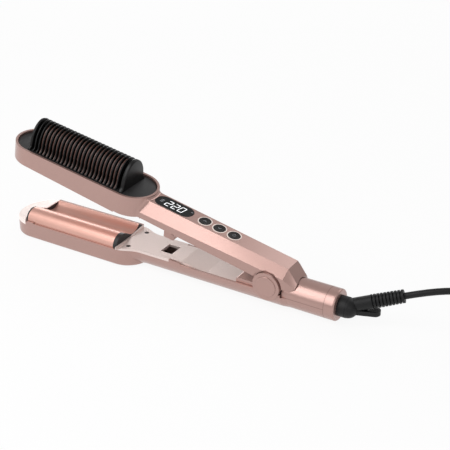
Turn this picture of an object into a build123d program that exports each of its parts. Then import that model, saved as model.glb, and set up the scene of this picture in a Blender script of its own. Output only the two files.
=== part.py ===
from build123d import *
import os
from math import acos, asin, atan2, cos, degrees, hypot, pi, radians, sin, sqrt, tan

# Hair waver: two hinged arms. The lower one lies on the table and carries a copper wave plate, the upper
# one carries the matching plate underneath and a heated comb on top. Millimetres, +Z up, X from the head
# tip to the tail, floor at Z = 0, the front side is -Y. Lengths along an arm are counted from the hinge.

# Overall
hinge_to_tail = 62.7
hinge_height = 22.0
open_angle = 12.1
closed_tilt = 2.2
wall = 1.8
fit_gap = 0.2
seat_gap = 0.1
running_gap = 0.05

# Lower head and handle
head_width = 46.6
lower_tip_length = 22.0
lower_head_back = 132.0
rim_height = 16.5
head_height = 21.6
head_bottom_round = 3.0
handle_radius = 16.8
neck_length = 15.0
neck_radius = 20.9
neck_mid_radius = 18.1
cover_rise = 2.4
cover_front = 154.3
cover_wide_end = 100.0
cover_level_end = 88.0
cover_dip_end = 62.0
cover_back = 32.0
cover_dip = 3.4
cover_thickness = 1.9
cover_half_width = 14.5
lip_thickness = 1.4
lip_low = 16.6
lip_high = 21.5
tab_length = 13.0
tab_rise = 1.5
lower_screw_x = 145.3
lower_screw_y = 14.9
screw_hole_radius = 2.3
screw_head_radius = 2.1
screw_head_height = 1.3
screw_shank_radius = 1.1
screw_length = 7.0
boss_radius = 2.6
tip_seam = 13.5
tip_cap_lap = 4.7
tip_cap_slope = 0.17
tip_cap_round = 2.9
tip_cap_wall = 2.0
tongue_start = 2.4
tongue_thickness = 0.7
rim_ledge_length = 8.0
rim_ledge_rise = 1.0
edge_round = 1.5

# Wave plates: a barrel in front, a trough behind, and the same turned over in the upper head
wave_length = 100.0
barrel_inset = 0.55
wave_gap = 0.7
crest_height = 4.6
plate_thickness = 1.6
skirt_drop = 3.0
web_thickness = 2.0
web_back = 7.0
heater_top = 14.8
heater_height = 4.0
heater_width = 12.0
heater_inset = 6.0
end_cap_front = 1.6
end_cap_back = 4.0
end_cap_bottom = 10.2
carrier_thickness = 1.5
carrier_leg_radius = 2.5
carrier_leg_inset = 10.0
carrier_leg_y = 15.0
fuse_radius = 1.5
fuse_length = 12.0

# Upper arm, heights counted from the hinge axis
upper_tip_length = 25.8
upper_head_back = 130.3
upper_head_width = 47.4
upper_rim = 26.9
rear_bottom = 7.2
deck_start = 140.0
deck_end = 13.5
deck_front_height = 24.4
deck_back_height = 20.5
deck_front_half = 9.6
deck_back_half = 8.6
shoulder_height = 13.1
handle_half_width = 16.2
side_front_bottom = 7.7
side_back_bottom = 2.9
under_bevel = 2.0
under_half_width = 13.0
snout_length = 11.0
snout_top = 10.0
snout_half_top = 9.0
snout_shoulder = 6.0
snout_half_side = 12.0
tail_clearance = 0.8
upper_cover_half = 11.4
upper_cover_front = 130.0
upper_cover_back = 14.0
upper_screw_x = 30.0
hook_front = 114.0
hook_stem_length = 8.0
hook_nose_length = 10.4
hook_half_width = 3.5
hook_bottom = -10.0
hook_nose_height = 6.2
hook_flange = 2.0

# Comb
comb_lead = 3.3
comb_recess = 1.6
comb_plate = 2.0
comb_ledge = 1.5
end_fin = 2.6
end_block = 4.2
end_block_round = 1.2
fin_count = 24
fin_thickness = 1.2
fin_foot = 18.9
fin_shoulder = 15.2
fin_shoulder_height = 8.2
fin_height = 25.9
tooth_thickness = 0.8
tooth_drop = 2.2
tooth_slot = 1.3
spreader_half = 12.0
spreader_front_inset = 9.6
spreader_back_inset = 5.7

# Hinge
ear_radius = 13.0
ear_inner = 13.8
ear_outer = 17.8
ear_gap = 0.4
ear_ring = 1.6
barrel_gap = 0.4
knuckle_radius = 9.0
web_top = 14.6
pin_radius = 2.5
pin_seat = 2.9
spring_pocket_radius = 5.8
spring_pocket_half = 9.5
spring_wire = 1.2
hinge_cap_radius = 9.7
hinge_cap_depth = 1.0
hinge_cap_proud = 0.6
shroud_front = 31.0
shroud_back = 14.0
shroud_top = 20.5

# Tail and cord swivel
tail_radius = 14.25
tail_cover_front = 13.5
taper_end = 19.0
collar_length = 15.0
spigot_length = 5.7
drum_radius = 9.25
flange_thickness = 2.4
contact_length = 5.0
contact_ring_radii = (4.0, 7.5)
contact_ring_width = 1.2
drum_proud = 7.4
ball_radius = 9.0
neck_tube_radius = 6.0
cord_rise = 18.0
cord_turn = 20.0
neck_reach = 24.0
sleeve_length = 28.0
sleeve_start_radius = 6.3
sleeve_end_radius = 5.8
sleeve_rib_count = 9
sleeve_groove = 0.9
loop_length = 31.0
loop_width = 10.0
loop_hole_length = 9.6
loop_hole_width = 6.0
loop_bottom = 9.8
loop_thickness = 4.2
cord_diameter = 5.8

# Buttons and display on the deck
button_radius = 5.65
button_pitch = 15.2
button_first = 76.5
button_proud = 0.7
button_flange_radius = 6.6
button_flange = 0.9
button_travel = 0.6
stem_radius = 1.5
stem_length = 0.4
bezel_width = 0.95
bezel_proud = 0.3
bezel_depth = 0.8
window_centre = 109.0
window_length = 39.5
window_width = 16.4
window_thickness = 1.2
window_ledge = 1.6
board_depth = 7.0
board_thickness = 1.2
board_front = 130.0
board_back = 38.0
board_half = 11.0
post_radius = 2.0
switch_size = 6.0
plunger_radius = 1.6
plunger_height = 0.25

# Slot for the hook, and the lock under it
slot_centre = 108.8
slot_length = 12.1
slot_width = 14.4
lock_travel = 3.2
lock_pad_length = 16.0
lock_pad_width = 9.0
lock_pad_centre = 96.0
lock_pad_bottom = 0.6
lock_flange_bottom = 3.7
lock_flange = 1.2
lock_flange_width = 14.0
lock_flange_length = 26.0
lock_catch_bottom = 14.6
lock_catch = 1.2
lock_catch_width = 10.0
lock_post = 4.0
catch_overhang = 2.5
rail_width = 1.4
rail_bottom = 2.5

# Frames. The upper arm is at rest in its open position, the mating frame is the one that lies level once
# the arm is closed, and the upper wave frame is the lower head's frame turned over onto it.
wave_back = cover_front + end_cap_back
wave_front = wave_back + wave_length
tip_cap_end = wave_front - tip_cap_lap
lower_tip = wave_front + lower_tip_length
upper_tip = wave_front + upper_tip_length
comb_front = wave_front + comb_lead
comb_back = cover_front
spreader_front = comb_front - spreader_front_inset
spreader_back = comb_back + spreader_back_inset
heater_length = wave_length - 2 * heater_inset
carrier_leg_x = wave_length / 2 - carrier_leg_inset
body_length = lower_tip + hinge_to_tail
hinge_x = body_length / 2 - hinge_to_tail
mating_height = head_height + 0.3
inner_half = head_width / 2 - wall
upper_wall = wall + (upper_head_width - head_width) / 2


def swung(angle, rise=0.0, turned=False):
    """Plane on the hinge axis, swung open by the angle, raised along its own Z, or turned over."""
    tilt = radians(angle)
    up = Vector(sin(tilt), 0, cos(tilt))
    origin = Vector(hinge_x, 0, hinge_height) + up * rise
    return Plane(origin, x_dir=(cos(tilt), 0, -sin(tilt)), z_dir=up * (-1 if turned else 1))


lower = Plane((hinge_x, 0, 0))
upper = swung(open_angle - closed_tilt)
mating = swung(open_angle)
upper_wave = swung(open_angle, 2 * mating_height - hinge_height, turned=True)


def level(frame, z):
    """Plane parallel to the frame's floor at height z."""
    return frame.offset(z)


def station(frame, x):
    """Plane across the arm at x: its own X is the frame's Y, its own Y the frame's Z."""
    return Plane(frame.from_local_coords(Vector(x, 0, 0)), x_dir=frame.y_dir, z_dir=frame.x_dir)


def side(frame, y):
    """Upright plane along the arm at y: its own Y is the frame's Z, and it faces the frame's -Y."""
    return Plane(frame.from_local_coords(Vector(0, y, 0)), x_dir=frame.x_dir, z_dir=-frame.y_dir)


def sloped(frame, rise, fall):
    """Plane through height rise over the hinge that falls by the slope towards the tail."""
    run = frame.x_dir - frame.z_dir * fall
    return Plane(frame.from_local_coords(Vector(0, 0, rise)), x_dir=run, z_dir=run.cross(frame.y_dir))


deck_fall = (deck_front_height - deck_back_height) / (deck_start + deck_end)
deck = sloped(upper, deck_back_height + deck_end * deck_fall, deck_fall)
under_fall = (side_front_bottom - side_back_bottom) / (deck_start + deck_end)
underside = sloped(upper, side_back_bottom - under_bevel + deck_end * under_fall, under_fall)

parts = {}


def keep(name, piece):
    """Label one finished piece and hold it for writing."""
    piece.label = name
    parts[name] = piece


def slot_between(front, back, width):
    """Oblong outline between two distances from the hinge."""
    with Locations((-(front + back) / 2, 0)):
        SlotOverall(front - back, width)


def block(x_front, x_back, half_width, mode=Mode.ADD):
    """Rectangle across the arm between two distances from the hinge."""
    with Locations((-(x_front + x_back) / 2, 0)):
        Rectangle(abs(x_front - x_back), 2 * half_width, mode=mode)


# Wave profile, in (y, z) of a station. Barrel and trough are joined by their inner common tangent.
barrel_radius = inner_half / 2 - barrel_inset
wave_rise = barrel_radius - crest_height
barrel_y = inner_half - seat_gap - barrel_radius
barrel_z = mating_height - wave_rise
trough_z = mating_height + wave_rise
trough_radius = barrel_radius + wave_gap
centre_span = hypot(2 * barrel_y, 2 * wave_rise)
contact = degrees(atan2(wave_rise, barrel_y) + acos((barrel_radius + trough_radius) / centre_span))


def on_barrel(radius, angle):
    return (-barrel_y + radius * cos(radians(angle)), barrel_z + radius * sin(radians(angle)))


def on_trough(radius, angle):
    return (barrel_y + radius * cos(radians(angle)), trough_z + radius * sin(radians(angle)))


def wave_curve(depth, floor, edge):
    """The plate's surface at a depth below its face, from the front skirt at floor to the far edge."""
    small = barrel_radius - depth
    large = trough_radius + depth
    end = degrees(asin((head_height - depth - trough_z) / large))
    bottom = contact + 180
    Line((-barrel_y - small, floor), on_barrel(small, 180))
    ThreePointArc(on_barrel(small, 180), on_barrel(small, (180 + contact) / 2), on_barrel(small, contact))
    Line(on_barrel(small, contact), on_trough(large, bottom))
    ThreePointArc(on_trough(large, bottom), on_trough(large, (bottom + 360 + end) / 2), on_trough(large, end))
    Line(on_trough(large, end), (edge, head_height - depth))


far_edge = inner_half - seat_gap
skirt_z = barrel_z - skirt_drop


def wave_plate(frame, x_front):
    """Aluminium extrusion with the wave on its face and a flat web over the heater."""
    with BuildPart() as plate:
        with BuildSketch(station(frame, -x_front)):
            with BuildLine():
                wave_curve(0, skirt_z, far_edge)
                Line((far_edge, head_height), (far_edge, head_height - plate_thickness))
                wave_curve(plate_thickness, skirt_z, far_edge)
                Line(
                    (-barrel_y - barrel_radius, skirt_z),
                    (-barrel_y - barrel_radius + plate_thickness, skirt_z),
                )
            make_face()
            web_front = -barrel_y - barrel_radius + plate_thickness / 2
            with Locations(((web_front + web_back) / 2, heater_top + web_thickness / 2)):
                Rectangle(web_back - web_front, web_thickness)
        extrude(amount=x_front - wave_back)
    return plate.part


def end_cap(frame, x_front, thickness, flat_top=False):
    """Black end piece that follows the wave, or follows it no higher than the head's plane."""
    with BuildPart() as cap:
        with BuildSketch(station(frame, -x_front)):
            with BuildLine():
                wave_curve(0, end_cap_bottom, far_edge)
                Line((far_edge, head_height), (far_edge, end_cap_bottom))
                Line((far_edge, end_cap_bottom), (-barrel_y - barrel_radius, end_cap_bottom))
            make_face()
            if flat_top:
                with Locations((0, head_height)):
                    Rectangle(head_width, head_width, align=(Align.CENTER, Align.MIN), mode=Mode.SUBTRACT)
        extrude(amount=thickness)
        with BuildSketch(level(frame, 0)):
            slot_between(lower_tip - wall - seat_gap, lower_head_back, head_width - 2 * wall - 2 * seat_gap)
        extrude(amount=2 * head_height, mode=Mode.INTERSECT)
    return cap.part


def heater(frame):
    """Aluminium-cased heating element that lies against the web."""
    with BuildPart() as element:
        with BuildSketch(level(frame, heater_top - heater_height)):
            with Locations((-wave_front + wave_length / 2, -barrel_y)):
                Rectangle(heater_length, heater_width)
        extrude(amount=heater_height)
    return element.part


def half_round(x, radius, top):
    """Sketch at x: lower half of a round section with its flat side at the top."""
    with BuildSketch(station(lower, x)) as section:
        with BuildLine():
            ThreePointArc((-radius, top), (0, top - radius), (radius, top))
            Line((radius, top), (-radius, top))
        make_face()
    return section.sketch


def under_arc(x):
    """Sketch at x: the handle's section below the tail's middle plane."""
    half = sqrt(handle_radius**2 - (rim_height - tail_radius) ** 2)
    with BuildSketch(station(lower, x)) as section:
        with BuildLine():
            ThreePointArc((-half, tail_radius), (0, rim_height - handle_radius), (half, tail_radius))
            Line((half, tail_radius), (-half, tail_radius))
        make_face()
    return section.sketch


cap_back = wave_front + end_cap_front + seat_gap

# Lower shell
with BuildPart() as lower_shell:
    with BuildSketch(level(lower, 0)):
        slot_between(lower_tip, lower_head_back, head_width)
    extrude(amount=rim_height)
    fillet(lower_shell.faces().sort_by(Axis.Z)[0].edges(), head_bottom_round)

    neck_start = lower_head_back + 13
    neck_end_x = -neck_start + neck_length
    shell_end = tail_cover_front - fit_gap
    neck_sections = [
        half_round(-neck_start, neck_radius, rim_height),
        half_round(-neck_start + neck_length / 2, neck_mid_radius, rim_height),
        half_round(neck_end_x, handle_radius, rim_height),
    ]
    loft(neck_sections)
    extrude(half_round(neck_end_x, handle_radius, rim_height), amount=shell_end - neck_end_x)
    loft([under_arc(shell_end), half_round(taper_end, tail_radius, tail_radius)])
    extrude(half_round(taper_end, tail_radius, tail_radius), amount=hinge_to_tail - collar_length - taper_end)
    with BuildSketch(level(lower, -handle_radius)):
        Rectangle(2 * body_length, 4 * handle_radius)
    extrude(amount=handle_radius, mode=Mode.SUBTRACT)
    # hollow
    with BuildSketch(level(lower, wall)):
        slot_between(lower_tip - wall, lower_head_back + wall, head_width - 2 * wall)
    extrude(amount=head_height, mode=Mode.SUBTRACT)
    with BuildSketch(station(lower, -lower_head_back - 4)):
        with Locations((0, rim_height)):
            Circle(handle_radius - wall)
    extrude(amount=lower_head_back + 4 + tail_cover_front - fit_gap, mode=Mode.SUBTRACT)
    with BuildSketch(station(lower, tail_cover_front - fit_gap)):
        with Locations((0, tail_radius)):
            Circle(tail_radius - wall)
    extrude(amount=hinge_to_tail, mode=Mode.SUBTRACT)
    # far wall of the head, and the tabs beside the slot
    with BuildSketch(level(lower, rim_height)):
        with Locations((-(tip_cap_end + cover_front) / 2, inner_half + wall / 2)):
            Rectangle(tip_cap_end - cover_front, wall)
    extrude(amount=head_height - rim_height)
    with BuildSketch(level(lower, tip_seam)):
        block(lower_tip, cap_back, head_width)
        with Locations((-(cap_back + tip_cap_end) / 2, inner_half + wall / 2)):
            Rectangle(cap_back - tip_cap_end, wall)
    extrude(amount=head_height, mode=Mode.SUBTRACT)
    with BuildSketch(level(lower, rim_height)):
        with Locations((-wave_front + rim_ledge_length / 2, -inner_half - wall / 2)):
            Rectangle(rim_ledge_length, wall)
    extrude(amount=rim_ledge_rise)
    for way in (-1, 1):
        with BuildSketch(side(lower, way * (handle_radius - wall / 2))):
            with BuildLine():
                Polyline(
                    (-cover_wide_end, rim_height - 1),
                    (-cover_wide_end, rim_height + cover_rise),
                    (-cover_wide_end + tab_length - 2, rim_height + tab_rise),
                    (-cover_wide_end + tab_length, rim_height),
                    (-cover_wide_end + tab_length, rim_height - 1),
                    close=True,
                )
            make_face()
        extrude(amount=wall / 2 - 0.05, both=True)
    # hinge ears
    for way in (-1, 1):
        with BuildSketch(side(lower, way * ear_inner)):
            with Locations((0, hinge_height)):
                Circle(ear_radius)
        extrude(amount=-way * (ear_outer - ear_inner))
        with BuildSketch(side(lower, way * ear_outer)):
            with Locations((0, hinge_height)):
                Circle(hinge_cap_radius)
        extrude(amount=way * hinge_cap_depth, mode=Mode.SUBTRACT)
        with BuildSketch(side(lower, way * ear_inner)):
            with Locations((0, hinge_height)):
                Circle(pin_radius)
        extrude(amount=-way * pin_seat, mode=Mode.SUBTRACT)
    # bosses under the inner cover
    with BuildSketch(level(lower, wall - 0.5)):
        with Locations((-lower_screw_x, lower_screw_y), (-lower_screw_x, -lower_screw_y)):
            Circle(boss_radius)
    extrude(amount=rim_height - wall + 0.5)
    with BuildSketch(level(lower, rim_height)):
        with Locations((-lower_screw_x, lower_screw_y), (-lower_screw_x, -lower_screw_y)):
            Circle(screw_shank_radius)
    extrude(amount=-screw_length, mode=Mode.SUBTRACT)
    # window and rails of the lock
    rail_y = lock_flange_width / 2 + fit_gap + rail_width / 2
    rail_front = lock_pad_centre + lock_flange_length / 2 + lock_travel + 1
    rail_back = lock_pad_centre - lock_flange_length / 2 - 1
    with BuildSketch(level(lower, rail_bottom)):
        with Locations((-(rail_front + rail_back) / 2, rail_y), (-(rail_front + rail_back) / 2, -rail_y)):
            Rectangle(rail_front - rail_back, rail_width)
    extrude(amount=lock_flange_bottom + lock_flange + fit_gap - rail_bottom)
    with BuildSketch(level(lower, -1)):
        with Locations((-lock_pad_centre - lock_travel / 2, 0)):
            Rectangle(lock_pad_length + lock_travel + 2 * fit_gap, lock_pad_width + 2 * fit_gap)
    extrude(amount=lock_flange_bottom + 1, mode=Mode.SUBTRACT)
keep("lower_shell", lower_shell.part)



def tongue_under(x):
    """Height of the underside of the cap's tongue at x."""
    return head_height - tongue_thickness + (x + tip_cap_end) * tip_cap_slope


# Pale cap of the tip: it falls towards the tip, and a tongue of it runs along the trough's end
with BuildPart() as lower_tip_cap:
    with BuildSketch(level(lower, tip_seam)):
        slot_between(lower_tip, tip_cap_end - head_width, head_width)
    extrude(amount=2 * head_height)
    cap_fall = sqrt(1 / (1 + tip_cap_slope**2))
    cap_top = Plane(
        lower.from_local_coords(Vector(-tip_cap_end, 0, head_height)),
        x_dir=(cap_fall, 0, tip_cap_slope * cap_fall),
        z_dir=(-tip_cap_slope * cap_fall, 0, cap_fall),
    )
    split(bisect_by=cap_top, keep=Keep.BOTTOM)
    fillet(lower_tip_cap.faces().sort_by(Axis.Z)[-1].edges(), tip_cap_round)
    with BuildSketch(level(lower, 0)):
        block(tip_cap_end, tip_cap_end - 2 * head_width, head_width)
        with Locations((-(cap_back + tip_cap_end) / 2, (tongue_start - head_width) / 2)):
            Rectangle(cap_back - tip_cap_end, head_width + tongue_start)
    extrude(amount=3 * head_height, mode=Mode.SUBTRACT)
    with BuildSketch(level(lower, tip_seam)):
        slot_between(lower_tip - wall - fit_gap, lower_head_back, head_width - 2 * wall - 2 * fit_gap)
        block(cap_back + wall, lower_head_back, head_width, mode=Mode.SUBTRACT)
    extrude(amount=tip_cap_wall, mode=Mode.SUBTRACT)
    with BuildSketch(side(lower, inner_half)):
        Polygon(
            (-cap_back, tip_seam),
            (-tip_cap_end, tip_seam),
            (-tip_cap_end, tongue_under(-tip_cap_end)),
            (-cap_back, tongue_under(-cap_back)),
            align=None,
        )
    extrude(amount=inner_half - tongue_start, mode=Mode.SUBTRACT)
keep("lower_tip_cap", lower_tip_cap.part)

with BuildPart() as lower_wave_plate:
    add(wave_plate(lower, wave_front))
    with BuildSketch(side(lower, head_width)):
        Polygon(
            (-cap_back, tongue_under(-cap_back)),
            (-tip_cap_end, tongue_under(-tip_cap_end)),
            (-tip_cap_end, 2 * head_height),
            (-cap_back, 2 * head_height),
            align=None,
        )
    extrude(amount=head_width - tongue_start, mode=Mode.SUBTRACT)
keep("lower_wave_plate", lower_wave_plate.part)

keep("lower_rear_end_cap", end_cap(lower, wave_back, end_cap_back))

# The tip's end piece also fills the trough's end, under the cap's tongue
with BuildPart() as lower_tip_end_cap:
    add(end_cap(lower, wave_front + end_cap_front, end_cap_front))
    with BuildSketch(station(lower, -wave_front - end_cap_front)):
        with BuildLine():
            wave_curve(0, skirt_z, far_edge)
            Line((far_edge, head_height), (far_edge, 2 * head_height))
            Line((far_edge, 2 * head_height), (-head_width, 2 * head_height))
            Line((-head_width, 2 * head_height), (-head_width, skirt_z))
            Line((-head_width, skirt_z), (-barrel_y - barrel_radius, skirt_z))
        make_face()
        with Locations(((far_edge + tongue_start) / 2, 0)):
            Rectangle(far_edge - tongue_start, 4 * head_height, mode=Mode.INTERSECT)
    extrude(amount=wave_front + end_cap_front - tip_cap_end - seat_gap)
    with BuildSketch(side(lower, head_width)):
        Polygon(
            (-cap_back, tongue_under(-cap_back)),
            (-wave_back, tongue_under(-wave_back)),
            (-wave_back, 3 * head_height),
            (-cap_back, 3 * head_height),
            align=None,
        )
    extrude(amount=head_width - tongue_start, mode=Mode.SUBTRACT)
keep("lower_tip_end_cap", lower_tip_end_cap.part)
keep("lower_heater", heater(lower))

# Inner cover of the lower arm: wide and raised beside the head, sunk between the walls behind
with BuildPart() as lower_inner_cover:
    with BuildSketch(level(lower, rim_height)):
        neck_x = -neck_start
        head_centre = -lower_head_back - head_width / 2
        arc_angle = acos((neck_x - head_centre) / (head_width / 2))
        neck_y = head_width / 2 * sin(arc_angle)
        for way in (-1, 1):
            with BuildLine():
                start = (-cover_front, way * head_width / 2)
                straight = (head_centre, way * head_width / 2)
                into_neck = (neck_x, way * neck_y)
                mid_angle = (arc_angle + pi / 2) / 2
                bend = (
                    head_centre + head_width / 2 * cos(mid_angle),
                    way * head_width / 2 * sin(mid_angle),
                )
                neck_end = (-neck_start + neck_length, way * handle_radius)
                if cover_front > -head_centre:
                    Line((-cover_front, 0), start)
                    Line(start, straight)
                    ThreePointArc(straight, bend, into_neck)
                else:
                    cut_angle = acos((-cover_front - head_centre) / (head_width / 2))
                    first = (-cover_front, way * head_width / 2 * sin(cut_angle))
                    between = (cut_angle + arc_angle) / 2
                    via = (
                        head_centre + head_width / 2 * cos(between),
                        way * head_width / 2 * sin(between),
                    )
                    Line((-cover_front, 0), first)
                    ThreePointArc(first, via, into_neck)
                Spline(
                    into_neck,
                    neck_end,
                    tangents=[(sin(arc_angle), -way * cos(arc_angle)), (1, 0)],
                )
                Line(neck_end, (-cover_wide_end, way * handle_radius))
                Line((-cover_wide_end, way * handle_radius), (-cover_wide_end, 0))
                Line((-cover_wide_end, 0), (-cover_front, 0))
            make_face()
    extrude(amount=cover_rise)
    cover_top = rim_height + cover_rise
    low_top = cover_top - cover_dip
    with BuildSketch(side(lower, 0)):
        with BuildLine():
            Polyline(
                (-cover_wide_end - 1, rim_height),
                (-cover_wide_end - 1, cover_top),
                (-cover_level_end, cover_top),
                (-cover_dip_end, low_top),
                (-cover_back, low_top),
                (-cover_back, low_top - cover_thickness),
                (-cover_dip_end, low_top - cover_thickness),
                (-cover_level_end + 2, rim_height),
                close=True,
            )
        make_face()
    extrude(amount=cover_half_width, both=True)
    lip_half = far_edge - 0.1
    with BuildSketch(station(lower, -cover_front)):
        with BuildLine():
            Polyline(
                (-lip_half, end_cap_bottom),
                (-lip_half, lip_low),
                (lip_half, lip_high),
                (lip_half, end_cap_bottom),
                close=True,
            )
        make_face()
    extrude(amount=lip_thickness)
    # the plate's front corner falls to the low end of the lip
    lip_back = -cover_front + lip_thickness
    low_corner = lower.from_local_coords(Vector(lip_back, -lip_half, lip_low))
    along = Vector(0, 2 * lip_half, lip_high - lip_low)
    across = Vector(2 * (cover_top - lip_low), 0, cover_top - lip_low)
    with BuildSketch(Plane(low_corner, x_dir=along, z_dir=across.cross(along))) as slope:
        Rectangle(60, 40, align=(Align.CENTER, Align.MAX))
    extrude(amount=6, mode=Mode.SUBTRACT)
    with BuildSketch(level(lower, 0)):
        with Locations((-slot_centre, 0)):
            Rectangle(slot_length, slot_width)
        with Locations((-lower_screw_x, lower_screw_y), (-lower_screw_x, -lower_screw_y)):
            Circle(screw_shank_radius)
    extrude(amount=head_height, mode=Mode.SUBTRACT)
    with BuildSketch(level(lower, cover_top)):
        with Locations((-lower_screw_x, lower_screw_y), (-lower_screw_x, -lower_screw_y)):
            Circle(screw_hole_radius)
    extrude(amount=-screw_head_height - 0.5, mode=Mode.SUBTRACT)
keep("lower_inner_cover", lower_inner_cover.part)

with BuildPart() as lower_cover_screws:
    seat = cover_top - screw_head_height - 0.5
    with BuildSketch(level(lower, seat)):
        with Locations((-lower_screw_x, lower_screw_y), (-lower_screw_x, -lower_screw_y)):
            Circle(screw_head_radius)
    extrude(amount=screw_head_height)
    with BuildSketch(level(lower, seat)):
        with Locations((-lower_screw_x, lower_screw_y), (-lower_screw_x, -lower_screw_y)):
            Circle(screw_shank_radius)
    extrude(amount=rim_height - screw_length + 0.3 - seat)
keep("lower_cover_screws", lower_cover_screws.part)

# Carrier that holds the lower heater against the web, with the thermal fuse beside it
carrier_top = heater_top - heater_height
wave_middle = -wave_front + wave_length / 2
with BuildPart() as lower_heater_carrier:
    with BuildSketch(level(lower, carrier_top - carrier_thickness)):
        with Locations((wave_middle, 0)):
            Rectangle(wave_length - 2 * seat_gap, 2 * (far_edge - plate_thickness - fit_gap))
    extrude(amount=carrier_thickness)
    with BuildSketch(level(lower, wall)):
        with Locations((wave_middle, 0)):
            with GridLocations(2 * carrier_leg_x, 2 * carrier_leg_y, 2, 2):
                Circle(carrier_leg_radius)
    extrude(amount=carrier_top - carrier_thickness - wall)
keep("lower_heater_carrier", lower_heater_carrier.part)

with BuildPart() as thermal_fuse:
    with BuildSketch(station(lower, wave_middle - fuse_length / 2)):
        with Locations((barrel_y - 7, carrier_top + fuse_radius)):
            Circle(fuse_radius)
    extrude(amount=fuse_length)
keep("thermal_fuse", thermal_fuse.part)

# Hinge: pin, spring, caps and the shroud in front of it
with BuildPart() as hinge_pin:
    with BuildSketch(side(lower, ear_inner + pin_seat)):
        with Locations((0, hinge_height)):
            Circle(pin_radius)
    extrude(amount=2 * (ear_inner + pin_seat))
keep("hinge_pin", hinge_pin.part)

with BuildPart() as hinge_spring:
    with BuildSketch(side(lower, spring_pocket_half - fit_gap)):
        with Locations((0, hinge_height)):
            Circle(pin_radius + fit_gap + spring_wire)
            Circle(pin_radius + fit_gap, mode=Mode.SUBTRACT)
    extrude(amount=2 * (spring_pocket_half - fit_gap))
keep("hinge_spring", hinge_spring.part)

for name, way in (("hinge_cap_front", -1), ("hinge_cap_back", 1)):
    with BuildPart() as hinge_cap:
        with BuildSketch(side(lower, way * (ear_outer - hinge_cap_depth))):
            with Locations((0, hinge_height)):
                Circle(hinge_cap_radius - 0.05)
        extrude(amount=-way * (hinge_cap_depth + hinge_cap_proud))
        outer_face = hinge_cap.faces().sort_by(Axis.Y)[0 if way < 0 else -1]
        fillet(outer_face.edges(), hinge_cap_proud * 0.8)
    keep(name, hinge_cap.part)

with BuildPart() as hinge_shroud:
    shroud_half = cover_half_width
    shroud_low = low_top - cover_thickness
    with BuildSketch(level(lower, shroud_low)):
        block(shroud_front, shroud_back, shroud_half)
    extrude(amount=shroud_top - shroud_low)
    fillet(hinge_shroud.faces().sort_by(Axis.Z)[-1].edges().sort_by(Axis.X)[0], edge_round)
    with BuildSketch(level(lower, shroud_low)):
        block(shroud_front - wall, shroud_back - 1, shroud_half - wall)
    extrude(amount=shroud_top - shroud_low - wall, mode=Mode.SUBTRACT)
keep("hinge_shroud", hinge_shroud.part)

# Tail
with BuildPart() as tail_cover:
    with BuildSketch(station(lower, tail_cover_front)):
        with Locations((0, tail_radius)):
            Circle(tail_radius)
            with Locations((0, -tail_radius)):
                Rectangle(4 * tail_radius, 2 * tail_radius, mode=Mode.SUBTRACT)
    extrude(amount=hinge_to_tail - collar_length - tail_cover_front)
    with BuildSketch(station(lower, tail_cover_front + wall)):
        with Locations((0, tail_radius)):
            Circle(tail_radius - wall)
    extrude(amount=hinge_to_tail, mode=Mode.SUBTRACT)
keep("tail_cover", tail_cover.part)

collar_front = hinge_to_tail - collar_length
with BuildPart() as tail_collar:
    with BuildSketch(station(lower, collar_front)):
        with Locations((0, tail_radius)):
            Circle(tail_radius)
    extrude(amount=collar_length)
    fillet(tail_collar.faces().sort_by(Axis.X)[-1].edges(), edge_round)
    with BuildSketch(station(lower, collar_front - spigot_length)):
        with Locations((0, tail_radius)):
            Circle(tail_radius - wall - seat_gap)
    extrude(amount=spigot_length)
    with BuildSketch(station(lower, collar_front - spigot_length)):
        with Locations((0, tail_radius)):
            Circle(tail_radius - 2 * wall)
    extrude(amount=spigot_length + collar_length - wall, mode=Mode.SUBTRACT)
    with BuildSketch(station(lower, collar_front)):
        with Locations((0, tail_radius)):
            Circle(drum_radius + running_gap)
    extrude(amount=collar_length, mode=Mode.SUBTRACT)
keep("tail_collar", tail_collar.part)

flange_back = hinge_to_tail - wall - fit_gap
flange_outer = tail_radius - 2 * wall - fit_gap
contact_back = flange_back - flange_thickness - fit_gap
with BuildPart() as contact_block:
    with BuildSketch(station(lower, contact_back - contact_length)):
        with Locations((0, tail_radius)):
            Circle(tail_radius - 2 * wall)
    extrude(amount=contact_length)
    for ring_radius in contact_ring_radii:
        with BuildSketch(station(lower, contact_back - 1)):
            with Locations((0, tail_radius)):
                Circle(ring_radius + contact_ring_width)
                Circle(ring_radius, mode=Mode.SUBTRACT)
        extrude(amount=1, mode=Mode.SUBTRACT)
keep("contact_block", contact_block.part)

with BuildPart() as contact_rings:
    for ring_radius in contact_ring_radii:
        with BuildSketch(station(lower, contact_back - 1)):
            with Locations((0, tail_radius)):
                Circle(ring_radius + contact_ring_width)
                Circle(ring_radius, mode=Mode.SUBTRACT)
        extrude(amount=1)
keep("contact_rings", contact_rings.part)

# Two wires along the floor of the lower arm, from the contact block to the heater
wire_radius = 0.8
wire_y = 10.5
wire_path_radius = handle_radius - wall - wire_radius - seat_gap
wire_z = rim_height - sqrt(wire_path_radius**2 - wire_y**2)
tail_wire_y = wire_y - 3
tail_wire_z = wire_z + 1.5
with BuildPart() as lower_wires:
    for way in (-1, 1):
        with BuildLine() as wire_route:
            FilletPolyline(
                lower.from_local_coords(Vector(-lower_head_back - 2, way * wire_y, wire_z)),
                lower.from_local_coords(Vector(2, way * wire_y, wire_z)),
                lower.from_local_coords(Vector(16, way * tail_wire_y, tail_wire_z)),
                lower.from_local_coords(
                    Vector(contact_back - contact_length, way * tail_wire_y, tail_wire_z)
                ),
                radius=12,
            )
        with BuildSketch(station(lower, -lower_head_back - 2)):
            with Locations((way * wire_y, wire_z)):
                Circle(wire_radius)
        sweep(path=wire_route.line)
keep("lower_wires", lower_wires.part)

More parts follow.
